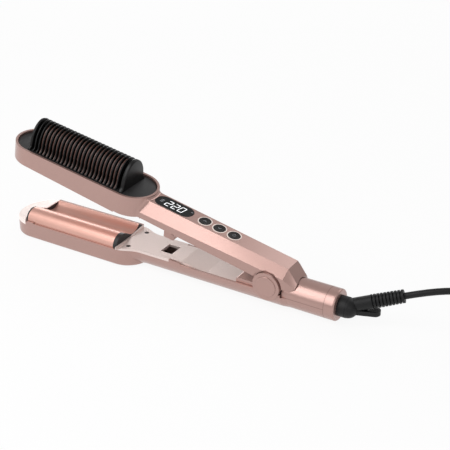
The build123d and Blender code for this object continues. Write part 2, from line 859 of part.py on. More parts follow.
# Lock under the handle: pad, flange between the rails, post and the catch that slides over the hook's nose
with BuildPart() as lock_slider:
    with BuildSketch(level(lower, lock_pad_bottom)):
        with Locations((-lock_pad_centre, 0)):
            Rectangle(lock_pad_length, lock_pad_width)
    extrude(amount=lock_flange_bottom - lock_pad_bottom)
    with BuildSketch(level(lower, lock_pad_bottom)):
        with Locations((-lock_pad_centre, 0)):
            with GridLocations(3, 0, 4, 1):
                Rectangle(1, lock_pad_width - 2)
    extrude(amount=0.6, mode=Mode.SUBTRACT)
    with BuildSketch(level(lower, lock_flange_bottom)):
        with Locations((-lock_pad_centre, 0)):
            Rectangle(lock_flange_length, lock_flange_width)
    extrude(amount=lock_flange)
    catch_front = slot_centre - slot_length / 2 - 0.4
    with BuildSketch(level(lower, lock_flange_bottom + lock_flange)):
        with Locations((-catch_front + catch_overhang + lock_post / 2, 0)):
            Rectangle(lock_post, lock_catch_width - 4)
    extrude(amount=lock_catch_bottom - lock_flange_bottom - lock_flange)
    with BuildSketch(level(lower, lock_catch_bottom)):
        with Locations((-catch_front + (lock_post + 3) / 2, 0)):
            Rectangle(lock_post + 3, lock_catch_width)
    extrude(amount=lock_catch)
keep("lock_slider", lock_slider.part)

with BuildPart() as lock_retainer:
    retainer_z = lock_flange_bottom + lock_flange + fit_gap
    with BuildSketch(level(lower, retainer_z)):
        block(rail_front, rail_back, rail_y + rail_width / 2)
        with Locations((-catch_front + catch_overhang + lock_post / 2 - lock_travel / 2, 0)):
            Rectangle(lock_post + lock_travel + 1, lock_catch_width - 3, mode=Mode.SUBTRACT)
    extrude(amount=1.2)
keep("lock_retainer", lock_retainer.part)

# Upper shell


def handle_outline(x, corners, inset=0.0):
    """Sketch at x of an eight-sided section from its corners on the +Y side, drawn in by an inset."""
    with BuildSketch(station(upper, x)) as section:
        Polygon(*corners, *[(-y, z) for y, z in reversed(corners)], align=None)
        if inset:
            offset(amount=-inset, kind=Kind.INTERSECTION, mode=Mode.REPLACE)
    return section.sketch


def handle_section(x, inset=0.0):
    """Sketch of the handle's section at x, drawn in by an inset."""
    share = (x + deck_start) / (deck_start + deck_end)
    side_bottom = side_front_bottom + (side_back_bottom - side_front_bottom) * share
    deck_half = deck_front_half + (deck_back_half - deck_front_half) * share
    corners = [
        (deck_half, deck_front_height + (deck_back_height - deck_front_height) * share),
        (handle_half_width, shoulder_height),
        (handle_half_width, side_bottom),
        (under_half_width, side_bottom - under_bevel),
    ]
    return handle_outline(x, corners, inset)


snout_corners = [
    (snout_half_top, snout_top),
    (snout_half_side, snout_shoulder),
    (snout_half_side, side_back_bottom - 1),
    (under_half_width - 3, side_back_bottom - under_bevel),
]
comb_floor = upper_rim - comb_recess - comb_plate
lead_y = 5.0
lead_z = 14.0
lead_radius = 0.8
mating_face = mating_height + (mating_height - head_height) - hinge_height
raised_face = 2 * mating_height - rim_height - hinge_height
with BuildPart() as upper_shell:
    loft([handle_section(-deck_start), handle_section(deck_end)], ruled=True)
    loft([handle_section(deck_end), handle_outline(deck_end + snout_length, snout_corners)], ruled=True)
    hollow_ends = (-deck_start + 2, deck_end - 5.5)
    loft([handle_section(x, wall) for x in hollow_ends], ruled=True, mode=Mode.SUBTRACT)
    with BuildSketch(level(underside, -1)):
        block(upper_cover_front, upper_cover_back, upper_cover_half + seat_gap)
    extrude(amount=3.5, mode=Mode.SUBTRACT)
    # head
    with BuildSketch(level(upper, upper_rim)):
        slot_between(upper_tip, upper_head_back, upper_head_width)
    extrude(amount=-2 * upper_rim)
    for inset, top, depth in (
        (upper_wall, upper_rim, upper_rim - comb_floor),
        (upper_wall + comb_ledge, comb_floor, comb_ledge),
        (upper_wall, comb_floor - comb_ledge, 2 * upper_rim),
    ):
        with BuildSketch(level(upper, top)):
            slot_between(upper_tip - inset, upper_head_back + inset, upper_head_width - 2 * inset)
        extrude(amount=-depth, mode=Mode.SUBTRACT)
    with BuildSketch(level(mating, mating_face)):
        with Locations((-upper_tip, 0)):
            Rectangle(2 * (upper_tip - upper_head_back + 8), 2 * upper_head_width)
    extrude(amount=-3 * upper_rim, mode=Mode.SUBTRACT)
    with BuildSketch(level(mating, raised_face)):
        with Locations((-(wave_front + end_cap_front + cover_front) / 2, upper_head_width / 2)):
            Rectangle(wave_front + end_cap_front - cover_front, 2 * (upper_wall + 0.1))
    extrude(amount=-3 * upper_rim, mode=Mode.SUBTRACT)
    with BuildSketch(level(upper, rear_bottom)):
        block(wave_back, upper_head_back - 1, upper_head_width)
        block(upper_head_back + 5, 0, handle_half_width + 1, mode=Mode.SUBTRACT)
    extrude(amount=-upper_rim, mode=Mode.SUBTRACT)
    # knuckle between the ears, hung from the deck by two webs
    with BuildSketch(side(upper, ear_inner - barrel_gap)):
        Circle(knuckle_radius)
    extrude(amount=2 * (ear_inner - barrel_gap))
    for way in (-1, 1):
        with BuildSketch(side(upper, way * (spring_pocket_half + 0.5))):
            with Locations((0, web_top / 2)):
                Rectangle(1.4 * knuckle_radius, web_top)
        extrude(amount=-way * (ear_inner - barrel_gap - spring_pocket_half - 0.5))
    with BuildSketch(side(upper, 2 * ear_outer)):
        Circle(pin_radius + running_gap)
    extrude(amount=4 * ear_outer, mode=Mode.SUBTRACT)
    with BuildSketch(side(upper, spring_pocket_half)):
        Circle(spring_pocket_radius)
    extrude(amount=2 * spring_pocket_half, mode=Mode.SUBTRACT)
    # room for the ears, with the shallow ring around them
    for way in (-1, 1):
        with BuildSketch(side(upper, way * (ear_inner - barrel_gap + 0.1))):
            Circle(ear_radius + ear_gap)
        extrude(amount=-way * ear_outer, mode=Mode.SUBTRACT)
        with BuildSketch(side(upper, way * (handle_half_width - 0.9))):
            Circle(ear_radius + ear_ring)
        extrude(amount=-way * ear_outer, mode=Mode.SUBTRACT)
    # the snout clears the tail tube under it
    with BuildSketch(station(lower, tail_cover_front - 0.6)):
        with Locations((0, tail_radius)):
            Circle(tail_radius + tail_clearance)
    extrude(amount=2 * snout_length + 10, mode=Mode.SUBTRACT)
    # holes for the heater's leads in the head's back wall
    with BuildSketch(station(upper, -upper_head_back - 12)):
        with Locations((lead_y, lead_z), (-lead_y, lead_z)):
            Circle(lead_radius + fit_gap)
    extrude(amount=14, mode=Mode.SUBTRACT)
    # posts of the board
    for post_x in (board_front - 3, board_back + 3):
        with BuildSketch(level(deck, -board_depth)):
            with Locations((-post_x, board_half - post_radius), (-post_x, -board_half + post_radius)):
                Circle(post_radius)
        extrude(amount=board_depth - wall - 0.8)
    # window and button holes
    with BuildSketch(level(deck, -window_thickness)):
        with Locations((-window_centre, 0)):
            SlotOverall(window_length, window_width)
    extrude(amount=4, mode=Mode.SUBTRACT)
    with BuildSketch(level(deck, -wall - 1)):
        with Locations((-window_centre, 0)):
            SlotOverall(window_length - 2 * window_ledge, window_width - 2 * window_ledge)
    extrude(amount=4, mode=Mode.SUBTRACT)
    for index in range(3):
        button_x = -button_first + index * button_pitch
        with BuildSketch(level(deck, -wall - 1)):
            with Locations((button_x, 0)):
                Circle(button_radius + 2 * running_gap + 0.1)
        extrude(amount=4, mode=Mode.SUBTRACT)
        with BuildSketch(level(deck, -bezel_depth)):
            with Locations((button_x, 0)):
                Circle(button_radius + 2 * running_gap + bezel_width)
        extrude(amount=4, mode=Mode.SUBTRACT)
keep("upper_shell", upper_shell.part)

upper_wave_front = tip_cap_end - 2 * seat_gap
upper_cap_length = wave_front + end_cap_front - upper_wave_front
keep("upper_wave_plate", wave_plate(upper_wave, upper_wave_front))
keep("upper_tip_end_cap", end_cap(upper_wave, wave_front + end_cap_front, upper_cap_length, flat_top=True))
keep("upper_rear_end_cap", end_cap(upper_wave, wave_back, end_cap_back))
keep("upper_heater", heater(upper_wave))

with BuildPart() as upper_tip_cover:
    with BuildSketch(level(upper_wave, head_height - wall)):
        lid_tip = upper_tip - upper_wall - fit_gap
        slot_between(lid_tip, upper_head_back, upper_head_width - 2 * upper_wall - 2 * seat_gap)
        block(cap_back, upper_head_back, upper_head_width, mode=Mode.SUBTRACT)
    extrude(amount=wall)
keep("upper_tip_cover", upper_tip_cover.part)

with BuildPart() as upper_head_cover:
    with BuildSketch(level(upper, rear_bottom)):
        lid_end = upper_head_back + upper_wall + fit_gap
        slot_between(upper_tip, lid_end, upper_head_width - 2 * upper_wall - 2 * seat_gap)
        block(upper_tip, cover_front - 5 * fit_gap, upper_head_width, mode=Mode.SUBTRACT)
    extrude(amount=wall)
keep("upper_head_cover", upper_head_cover.part)

with BuildPart() as upper_inner_cover:
    with BuildSketch(level(underside, 0)):
        block(upper_cover_front - seat_gap, upper_cover_back + seat_gap, upper_cover_half)
        with Locations((-hook_front + hook_stem_length / 2, 0)):
            Rectangle(hook_stem_length, 2 * hook_half_width, mode=Mode.SUBTRACT)
        with Locations((-upper_screw_x, 6), (-upper_screw_x, -6)):
            Circle(screw_shank_radius, mode=Mode.SUBTRACT)
    extrude(amount=wall)
    with BuildSketch(level(underside, wall)):
        for edge in (-1, 1):
            with Locations((-(upper_cover_front + upper_cover_back) / 2, edge * (upper_cover_half - 0.6))):
                Rectangle(upper_cover_front - upper_cover_back - 12, 1.2)
    extrude(amount=1.4)
keep("upper_inner_cover", upper_inner_cover.part)

# Hook that drops through the slot of the lower arm
with BuildPart() as latch_hook:
    plate_z = underside.offset(wall)
    with BuildSketch(plate_z):
        with Locations((-hook_front + hook_stem_length / 2, 0)):
            Rectangle(hook_stem_length + 6, 2 * hook_half_width + 6)
    extrude(amount=hook_flange)
    with BuildSketch(plate_z):
        with Locations((-hook_front + hook_stem_length / 2, 0)):
            Rectangle(hook_stem_length - 0.1, 2 * hook_half_width - 0.1)
    extrude(amount=hook_bottom - hook_flange)
    with BuildSketch(level(upper, hook_bottom)):
        with Locations((-hook_front + hook_nose_length / 2, 0)):
            Rectangle(hook_nose_length, 2 * hook_half_width)
    extrude(amount=hook_nose_height)
    bottom_edges = latch_hook.faces().sort_by(Axis(upper.origin, upper.z_dir))[0].edges()
    chamfer(bottom_edges, 1.0)
keep("latch_hook", latch_hook.part)

with BuildPart() as upper_heater_leads:
    for way in (-1, 1):
        with BuildSketch(station(upper, -cover_front + 1)):
            with Locations((way * lead_y, lead_z)):
                Circle(lead_radius)
        extrude(amount=cover_front - board_front + 6)
keep("upper_heater_leads", upper_heater_leads.part)

with BuildPart() as upper_cover_screws:
    with BuildSketch(level(underside, 0)):
        with Locations((-upper_screw_x, 6), (-upper_screw_x, -6)):
            Circle(screw_head_radius)
    extrude(amount=-screw_head_height)
    with BuildSketch(level(underside, 0)):
        with Locations((-upper_screw_x, 6), (-upper_screw_x, -6)):
            Circle(screw_shank_radius)
    extrude(amount=4)
keep("upper_cover_screws", upper_cover_screws.part)

# Comb: black guard with its fins, and the heated teeth that stand between them
clear_span = comb_front - comb_back - end_fin - end_block
fin_space = (clear_span - fin_count * fin_thickness) / (fin_count + 1)
fin_pitch = fin_space + fin_thickness
fins_start = -comb_front + end_fin


def fin_profile(x, drop, bottom):
    """Bell-shaped section of a fin or tooth at x, lowered and drawn in by a drop."""
    foot_z = upper_rim - comb_recess
    foot = fin_foot - drop
    shoulder = fin_shoulder - drop
    flank = (
        (shoulder, foot_z + fin_shoulder_height),
        (0.9 * shoulder, foot_z + 0.55 * fin_height - 0.1 * drop),
        (0.66 * shoulder, foot_z + 0.795 * fin_height - 0.4 * drop),
        (0.35 * shoulder, foot_z + 0.943 * fin_height - 0.85 * drop),
    )
    mirrored = [(-y, z) for y, z in reversed(flank)]
    with BuildSketch(station(upper, x)) as section:
        with BuildLine():
            Line((-foot, bottom), (foot, bottom))
            Line((foot, bottom), (foot, foot_z))
            bend = (shoulder + 0.28 * (foot - shoulder), foot_z + 0.35 * fin_shoulder_height)
            ThreePointArc((foot, foot_z), bend, flank[0])
            Spline(*flank, (0, foot_z + fin_height - drop), *mirrored)
            ThreePointArc(mirrored[-1], (-bend[0], bend[1]), (-foot, foot_z))
            Line((-foot, foot_z), (-foot, bottom))
        make_face()
    return section.sketch


with BuildPart() as comb_guard:
    block_body = end_block - end_block_round
    extrude(fin_profile(-comb_back - end_block, 0, comb_floor + 0.5), amount=block_body)
    rounded_ends = [
        fin_profile(-comb_back - end_block_round + along, drop, comb_floor + 0.5)
        for along, drop in (
            (0, 0),
            (0.6 * end_block_round, 0.2 * end_block_round),
            (end_block_round, end_block_round),
        )
    ]
    loft(rounded_ends)
    extrude(fin_profile(-comb_front, 0, comb_floor + 0.5), amount=end_fin)
    for index in range(fin_count):
        fin_x = fins_start + fin_space + index * fin_pitch
        extrude(fin_profile(fin_x, 0, comb_floor + 0.5), amount=fin_thickness)
    with BuildSketch(level(upper, comb_floor)):
        inset = upper_wall + fit_gap
        slot_between(upper_tip - inset, upper_head_back + inset, upper_head_width - 2 * inset)
        for index in range(fin_count + 1):
            with Locations((fins_start + fin_space / 2 + index * fin_pitch, 0)):
                Rectangle(tooth_slot, 2 * (fin_foot - tooth_drop + fit_gap), mode=Mode.SUBTRACT)
    extrude(amount=comb_plate)
keep("comb_guard", comb_guard.part)

with BuildPart() as comb_heated_teeth:
    with BuildSketch(level(upper, comb_floor)):
        block(spreader_front, spreader_back, spreader_half)
    extrude(amount=-12)
    spreader_face = 2 * mating_height - carrier_top - hinge_height
    with BuildSketch(level(mating, spreader_face)):
        with Locations((wave_middle, 0)):
            Rectangle(2 * wave_length, 4 * spreader_half)
    extrude(amount=-40, mode=Mode.SUBTRACT)
    for index in range(fin_count + 1):
        tooth_x = fins_start + fin_space / 2 + index * fin_pitch - tooth_thickness / 2
        if -spreader_front < tooth_x < -spreader_back - tooth_thickness:
            extrude(fin_profile(tooth_x, tooth_drop, comb_floor - 0.5), amount=tooth_thickness)
keep("comb_heated_teeth", comb_heated_teeth.part)

# Display and controls
with BuildPart() as display_window:
    with BuildSketch(level(deck, -window_thickness)):
        with Locations((-window_centre, 0)):
            SlotOverall(window_length - 2 * seat_gap, window_width - 2 * seat_gap)
    extrude(amount=window_thickness)
keep("display_window", display_window.part)

with BuildPart() as control_board:
    with BuildSketch(level(deck, -board_depth)):
        block(board_front, board_back, board_half)
    extrude(amount=-board_thickness)
keep("control_board", control_board.part)

with BuildPart() as display_module:
    with BuildSketch(level(deck, -board_depth)):
        with Locations((-window_centre, 0)):
            Rectangle(window_length - 2 * window_ledge - 8, window_width - 2 * window_ledge - 2)
    extrude(amount=board_depth - window_thickness - seat_gap)
keep("display_module", display_module.part)

stem_bottom = -wall - fit_gap - button_flange - stem_length
with BuildPart() as tact_switches:
    switch_top = stem_bottom - button_travel - seat_gap - plunger_height
    for index in range(3):
        with BuildSketch(level(deck, -board_depth)):
            with Locations((-button_first + index * button_pitch, 0)):
                Rectangle(switch_size, switch_size)
        extrude(amount=switch_top + board_depth)
        with BuildSketch(level(deck, switch_top)):
            with Locations((-button_first + index * button_pitch, 0)):
                Circle(plunger_radius)
        extrude(amount=plunger_height)
keep("tact_switches", tact_switches.part)

with BuildPart() as button_bezels:
    for index in range(3):
        with BuildSketch(level(deck, -bezel_depth)):
            with Locations((-button_first + index * button_pitch, 0)):
                Circle(button_radius + 2 * running_gap + bezel_width - 0.02)
                Circle(button_radius + 2 * running_gap, mode=Mode.SUBTRACT)
        extrude(amount=bezel_depth + bezel_proud)
keep("button_bezels", button_bezels.part)

for index, name in enumerate(("button_up", "button_down", "button_power")):
    with BuildPart() as button:
        button_x = -button_first + index * button_pitch
        for low, high, radius in (
            (-wall - fit_gap, button_proud, button_radius),
            (-wall - fit_gap - button_flange, -wall - fit_gap, button_flange_radius),
            (stem_bottom, -wall - fit_gap - button_flange, stem_radius),
        ):
            with BuildSketch(level(deck, low)):
                with Locations((button_x, 0)):
                    Circle(radius)
            extrude(amount=high - low)
        crown = button.faces().sort_by(Axis(deck.origin, deck.z_dir))[-1]
        fillet(crown.edges(), button_proud / 2)
    keep(name, button.part)

# Cord swivel: a drum held in the collar, its elbow and the hanging loop under it
rise = radians(cord_rise)
turn = radians(cord_turn)
cord_way = Vector(cos(rise) * cos(turn), cos(rise) * sin(turn), sin(rise))
elbow = Vector(hinge_x + hinge_to_tail + 3.5, 0, tail_radius)


def across_cord(reach):
    """Plane square to the cord's way at a reach from the elbow."""
    return Plane(elbow + cord_way * reach, x_dir=(-sin(turn), cos(turn), 0), z_dir=cord_way)


with BuildPart() as swivel_elbow:
    with BuildSketch(station(lower, flange_back - flange_thickness)):
        with Locations((0, tail_radius)):
            Circle(flange_outer)
    extrude(amount=flange_thickness)
    with BuildSketch(station(lower, flange_back)):
        with Locations((0, tail_radius)):
            Circle(drum_radius)
    extrude(amount=hinge_to_tail + drum_proud - flange_back)
    with Locations((hinge_x + hinge_to_tail + drum_proud, 0, tail_radius)):
        Sphere(ball_radius)
    with BuildSketch(across_cord(0)):
        Circle(neck_tube_radius)
    extrude(amount=neck_reach)
    loop_plane = Plane((elbow.X, 0, loop_bottom), x_dir=(cos(turn), sin(turn), 0), z_dir=(0, 0, 1))
    with BuildSketch(loop_plane):
        with Locations((loop_length / 2, 0)):
            SlotOverall(loop_length, loop_width)
    extrude(amount=loop_thickness)
    with BuildSketch(loop_plane):
        with Locations((loop_length - (loop_width - loop_hole_width) / 2 - loop_hole_length / 2, 0)):
            SlotOverall(loop_hole_length, loop_hole_width)
    extrude(amount=loop_thickness, mode=Mode.SUBTRACT)
keep("swivel_elbow", swivel_elbow.part)

with BuildPart() as strain_relief:
    with BuildSketch(across_cord(neck_reach)):
        Circle(sleeve_start_radius)
    with BuildSketch(across_cord(neck_reach + sleeve_length)):
        Circle(sleeve_end_radius)
    loft()
    rib_pitch = sleeve_length / (sleeve_rib_count + 0.5)
    for index in range(sleeve_rib_count):
        reach = neck_reach + rib_pitch * (index + 0.6)
        share = (reach - neck_reach) / sleeve_length
        radius = sleeve_start_radius + (sleeve_end_radius - sleeve_start_radius) * share
        with BuildSketch(across_cord(reach)):
            Circle(radius + 1)
            Circle(radius - sleeve_groove, mode=Mode.SUBTRACT)
        extrude(amount=rib_pitch * 0.42, mode=Mode.SUBTRACT)
keep("strain_relief", strain_relief.part)

# Free cord. Its points are chosen by hand; the coil behind it winds in over the top layer, drops to the
# floor layer and winds out again to the plug.
tie_thickness = 0.9
tie_width = 8.0

plug_neck = 14.0
plug_grip = 17.0
plug_width = 35.3
plug_thickness = 13.7
plug_pin_radius = 2.0
plug_pin_length = 19.0
plug_pin_spacing = 18.6
cord_radius = cord_diameter / 2
coil_step = cord_diameter + 0.6
layer_step = cord_diameter + 1.6
coil_outer = 40.0
coil_inward_turns = 7
coil_x = 343.0
coil_y = 12.0
coil_low = tie_thickness + cord_radius
coil_high = coil_low + layer_step
sleeve_end = elbow + cord_way * (neck_reach + sleeve_length)
lead_points = [
    (sleeve_end.X, sleeve_end.Y, sleeve_end.Z),
    tuple(sleeve_end + cord_way * 31.6),
    (279.4, 38.0, 40.0),
    (299.0, 45.4, 13.7),
    (316.7, coil_y + coil_outer, coil_low),
    (coil_x - cord_diameter, coil_y + coil_outer, coil_low),
]


def route_radii(points):
    """Largest even arc at each inner point: 0.45 of the shorter run over the tangent of half the turn."""
    radii = []
    for before, here, after in zip(points, points[1:], points[2:]):
        first = Vector(*here) - Vector(*before)
        second = Vector(*after) - Vector(*here)
        half_turn = radians(first.get_angle(second)) / 2
        radii.append(0.45 * min(first.length, second.length) / tan(half_turn))
    return radii


def free_cord(name, points):
    """Tube along straight runs and tangent arcs, checked against its section times its length."""
    radii = route_radii(points)
    print(name, "radii", [round(radius) for radius in radii])
    with BuildPart() as tube:
        with BuildLine() as route:
            FilletPolyline(*points, radius=radii)
        start = Vector(*points[0])
        with BuildSketch(Plane(start, z_dir=Vector(*points[1]) - start)):
            Circle(cord_radius)
        sweep(path=route.line)
    length = route.wires()[0].length
    print(name, "volume", round(tube.part.volume / (pi * cord_radius**2 * length), 4))
    keep(name, tube.part)
    return length


lead_length = free_cord("cord_lead", lead_points)

coil_half_turns = []
for index in range(coil_inward_turns):
    coil_half_turns.append((coil_outer - index * coil_step / 2, coil_low, coil_low))
inner_radius = coil_outer - coil_inward_turns * coil_step / 2
coil_half_turns.append((inner_radius, coil_low, coil_high))
for index in range(coil_inward_turns + 1):
    coil_half_turns.append((inner_radius + (index + 0.75) * coil_step / 2, coil_high, coil_high))

with BuildPart() as cord_coil:
    with BuildLine() as coil_route:
        y = coil_outer
        way = 1
        Line((coil_x - cord_diameter, coil_y + y, coil_low), (coil_x, coil_y + y, coil_low))
        for radius, z_from, z_to in coil_half_turns:
            start = (coil_x, coil_y + y, z_from)
            end = (coil_x, coil_y + y - way * 2 * radius, z_to)
            middle = (coil_x + way * radius, coil_y + y - way * radius, (z_from + z_to) / 2)
            ThreePointArc(start, middle, end)
            y -= way * 2 * radius
            way = -way
        Line((coil_x, coil_y + y, coil_high), (coil_x + cord_diameter, coil_y + y, coil_high))
    coil_start = (coil_x - cord_diameter, coil_y + coil_outer, coil_low)
    with BuildSketch(Plane(coil_start, z_dir=(1, 0, 0))):
        Circle(cord_radius)
    sweep(path=coil_route.line)
coil_end_y = coil_y + y
keep("cord_coil", cord_coil.part)


def least_gap(path, diameter, step=1.5):
    """Least distance between parts of one route that are more than a turn's share apart, less a diameter."""
    count = int(path.length / step)
    points = [path.position_at(index / count) for index in range(count + 1)]
    apart = int(12 / step)
    best = min(
        (points[i] - points[j]).length
        for i in range(0, len(points), 2)
        for j in range(i + apart, len(points), 2)
    )
    return best - diameter


coil_wire = coil_route.wires()[0]
print("coil gap", round(least_gap(coil_wire, cord_diameter), 2), "length", round(coil_wire.length))
print("coil volume", round(cord_coil.part.volume / (pi * cord_radius**2 * coil_wire.length), 4))

plug_z = coil_high + cord_radius + plug_thickness / 2 + 0.1
tail_points = [
    (coil_x + cord_diameter, coil_end_y, coil_high),
    (coil_x + 26.5, coil_end_y, 11.8),
    (coil_x + 43.7, coil_y + 28.1, 14.2),
    (coil_x + 51.3, coil_y + 7.0, 18.6),
    (coil_x + 43.8, coil_y - 15.1, plug_z),
    (coil_x + 24.1, coil_y - 27.7, plug_z),
    (coil_x + 0.6, coil_y - 28.6, plug_z),
]
tail_length = free_cord("cord_tail", tail_points)

# Tie around the bundle at the coil's tip side, and the plug
with BuildPart() as cord_tie:
    tie_in = inner_radius - cord_radius - 1.5
    tie_out = coil_outer + 3 * coil_step / 8 + cord_radius + 0.7
    tie_y = coil_y - 3 * coil_step / 8
    tie_corner = (coil_x - (tie_in + tie_out) / 2, tie_y + tie_width / 2, coil_low + layer_step / 2)
    with BuildSketch(Plane(tie_corner, x_dir=(1, 0, 0), z_dir=(0, -1, 0))):
        tall = layer_step + cord_diameter + 2 * tie_thickness
        RectangleRounded(tie_out - tie_in + 2 * tie_thickness, tall, 3)
        RectangleRounded(tie_out - tie_in, tall - 2 * tie_thickness, 2.2, mode=Mode.SUBTRACT)
    extrude(amount=tie_width)
keep("cord_tie", cord_tie.part)

plug_way = Vector(*tail_points[-1]) - Vector(*tail_points[-2])
plug_plane = Plane(Vector(*tail_points[-1]), x_dir=(plug_way.Y, -plug_way.X, 0), z_dir=plug_way)
with BuildPart() as plug_body:
    with BuildSketch(plug_plane):
        RectangleRounded(9, 8, 3.5)
    with BuildSketch(plug_plane.offset(plug_neck)):
        RectangleRounded(30, 13, 6)
    loft()
    with BuildSketch(plug_plane.offset(plug_neck)):
        RectangleRounded(plug_width, plug_thickness, plug_thickness / 2 - 0.05)
    extrude(amount=plug_grip)
keep("plug_body", plug_body.part)

with BuildPart() as plug_pins:
    with BuildSketch(plug_plane.offset(plug_neck + plug_grip)):
        with Locations((-plug_pin_spacing / 2, 0), (plug_pin_spacing / 2, 0)):
            Circle(plug_pin_radius)
    extrude(amount=plug_pin_length)
keep("plug_pins", plug_pins.part)

print("cord length", round(lead_length + coil_wire.length + tail_length))

os.makedirs("parts", exist_ok=True)
for name, piece in parts.items():
    export_step(piece, f"parts/{name}.step")
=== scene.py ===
"""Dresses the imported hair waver: finishes, comb, neck, marks, buttons, sleeve, seams and cord."""

from __future__ import annotations

import logging
import math
from dataclasses import dataclass, field
from enum import Enum
from typing import Any, Sequence

import bpy
import numpy as np
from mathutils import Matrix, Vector


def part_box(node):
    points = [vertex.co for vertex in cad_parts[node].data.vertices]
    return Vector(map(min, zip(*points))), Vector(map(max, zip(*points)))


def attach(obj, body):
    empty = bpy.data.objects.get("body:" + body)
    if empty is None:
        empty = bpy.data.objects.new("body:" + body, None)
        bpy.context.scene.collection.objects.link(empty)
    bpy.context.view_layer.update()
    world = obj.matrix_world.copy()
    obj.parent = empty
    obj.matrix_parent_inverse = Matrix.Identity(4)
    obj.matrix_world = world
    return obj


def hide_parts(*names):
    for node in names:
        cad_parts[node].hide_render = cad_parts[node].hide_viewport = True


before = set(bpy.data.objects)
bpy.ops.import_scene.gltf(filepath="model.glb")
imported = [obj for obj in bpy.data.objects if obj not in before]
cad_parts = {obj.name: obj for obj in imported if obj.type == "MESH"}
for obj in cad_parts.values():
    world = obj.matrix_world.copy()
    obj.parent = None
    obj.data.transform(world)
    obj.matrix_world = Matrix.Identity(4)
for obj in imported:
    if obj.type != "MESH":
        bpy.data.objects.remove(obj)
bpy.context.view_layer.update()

log = logging.getLogger("hair_waver")
Number = int | float
MM = 0.001


class Kind(Enum):
    """Shader nodes that the finishes use, by what they do."""

    MATHS = "ShaderNodeMath"
    MIX = "ShaderNodeMix"
    NOISE = "ShaderNodeTexNoise"
    PLACE = "ShaderNodeTexCoord"
    STRETCH = "ShaderNodeMapping"
    BUMP = "ShaderNodeBump"


class Pin:
    """One output socket, with the arithmetic that a shader needs."""

    def __init__(self, recipe: "Recipe", socket: bpy.types.NodeSocket) -> None:
        """Keeps the socket and the recipe it belongs to."""
        self.recipe = recipe
        self.socket = socket

    def _maths(self, operation: str, *values: "Pin | Number") -> "Pin":
        """Adds one Math node.

        Args:
            operation: Name of the Math operation.
            values: Its inputs, in order.

        Returns:
            The node's output.
        """
        inputs = dict(enumerate(values))
        return self.recipe.node(Kind.MATHS, {"operation": operation}, inputs)

    def __add__(self, other: "Pin | Number") -> "Pin":
        """Sum with a value on the right."""
        return self._maths("ADD", self, other)

    def __mul__(self, other: "Pin | Number") -> "Pin":
        """Product with a value on the right."""
        return self._maths("MULTIPLY", self, other)

    def clamp(self) -> "Pin":
        """The value kept between 0 and 1."""
        return self._maths("MINIMUM", self._maths("MAXIMUM", self, 0.0), 1.0)


class Recipe:
    """One material's node tree, with the calls that build it."""

    def __init__(self, name: str) -> None:
        """Starts an empty material with its shader and output."""
        self.material = bpy.data.materials.new(name)
        self.material.use_nodes = True
        self.tree = self.material.node_tree
        self.tree.nodes.clear()
        self.output = self.tree.nodes.new("ShaderNodeOutputMaterial")
        self.shader = self.tree.nodes.new("ShaderNodeBsdfPrincipled")
        self.tree.links.new(self.shader.outputs["BSDF"], self.output.inputs["Surface"])

    def node(
        self,
        kind: Kind,
        settings: dict[str, Any],
        inputs: dict[int | str, Any],
        output: int | str = 0,
    ) -> Pin:
        """Adds one node with its settings first, then its inputs.

        Args:
            kind: Which node.
            settings: Attribute values of the node.
            inputs: Values or pins, by the input's index or name.
            output: Which of the node's outputs is wanted.

        Returns:
            The wanted output.
        """
        made = self.tree.nodes.new(kind.value)
        for name, value in settings.items():
            setattr(made, name, value)
        for key, value in inputs.items():
            if isinstance(value, Pin):
                self.tree.links.new(value.socket, made.inputs[key])
            else:
                made.inputs[key].default_value = value
        return Pin(self, made.outputs[output])

    def place(self, stretch: Sequence[Number] = (1, 1, 1)) -> Pin:
        """Object coordinates in metres, scaled along each axis."""
        where = self.node(Kind.PLACE, {}, {}, "Object")
        return self.node(Kind.STRETCH, {}, {"Vector": where, "Scale": tuple(stretch)})

    def noise(self, where: Pin, scale: Number, detail: Number = 2.0) -> Pin:
        """Noise from 0 to 1 with about one blotch every 1/scale metres."""
        return self.node(Kind.NOISE, {}, {"Vector": where, "Scale": scale, "Detail": detail}, 0)

    def blend(self, share: Pin, low: Sequence[Number], high: Sequence[Number]) -> Pin:
        """A colour between two others.

        Args:
            share: 0 gives the first colour, 1 the second.
            low: First colour, linear.
            high: Second colour, linear.

        Returns:
            The mixed colour.
        """
        settings = {"data_type": "RGBA"}
        return self.node(Kind.MIX, settings, {0: share, 6: (*low, 1.0), 7: (*high, 1.0)}, 2)

    def bump(self, height: Pin, depth: Number) -> None:
        """Feeds a height of 0 to 1, as deep as stated in metres, to the normal."""
        normal = self.node(Kind.BUMP, {}, {"Height": height, "Distance": depth, "Strength": 1.0})
        self.feed("Normal", normal)

    def feed(self, name: str, value: Pin | Number | Sequence[Number]) -> None:
        """Sets or links one input of the shader."""
        if isinstance(value, Pin):
            self.tree.links.new(value.socket, self.shader.inputs[name])
        else:
            self.shader.inputs[name].default_value = value


def shade(red: Number, green: Number, blue: Number) -> tuple[float, float, float]:
    """Turns a screen colour, 0 to 255 each, into the linear one that shaders take."""

    def linear(value: Number) -> float:
        """One channel of the sRGB curve, undone."""
        part = value / 255
        return part / 12.92 if part <= 0.04045 else ((part + 0.055) / 1.055) ** 2.4

    return linear(red), linear(green), linear(blue)


def darker(colour: Sequence[float], share: Number) -> tuple[float, float, float]:
    """The colour with each channel multiplied by a share."""
    return colour[0] * share, colour[1] * share, colour[2] * share


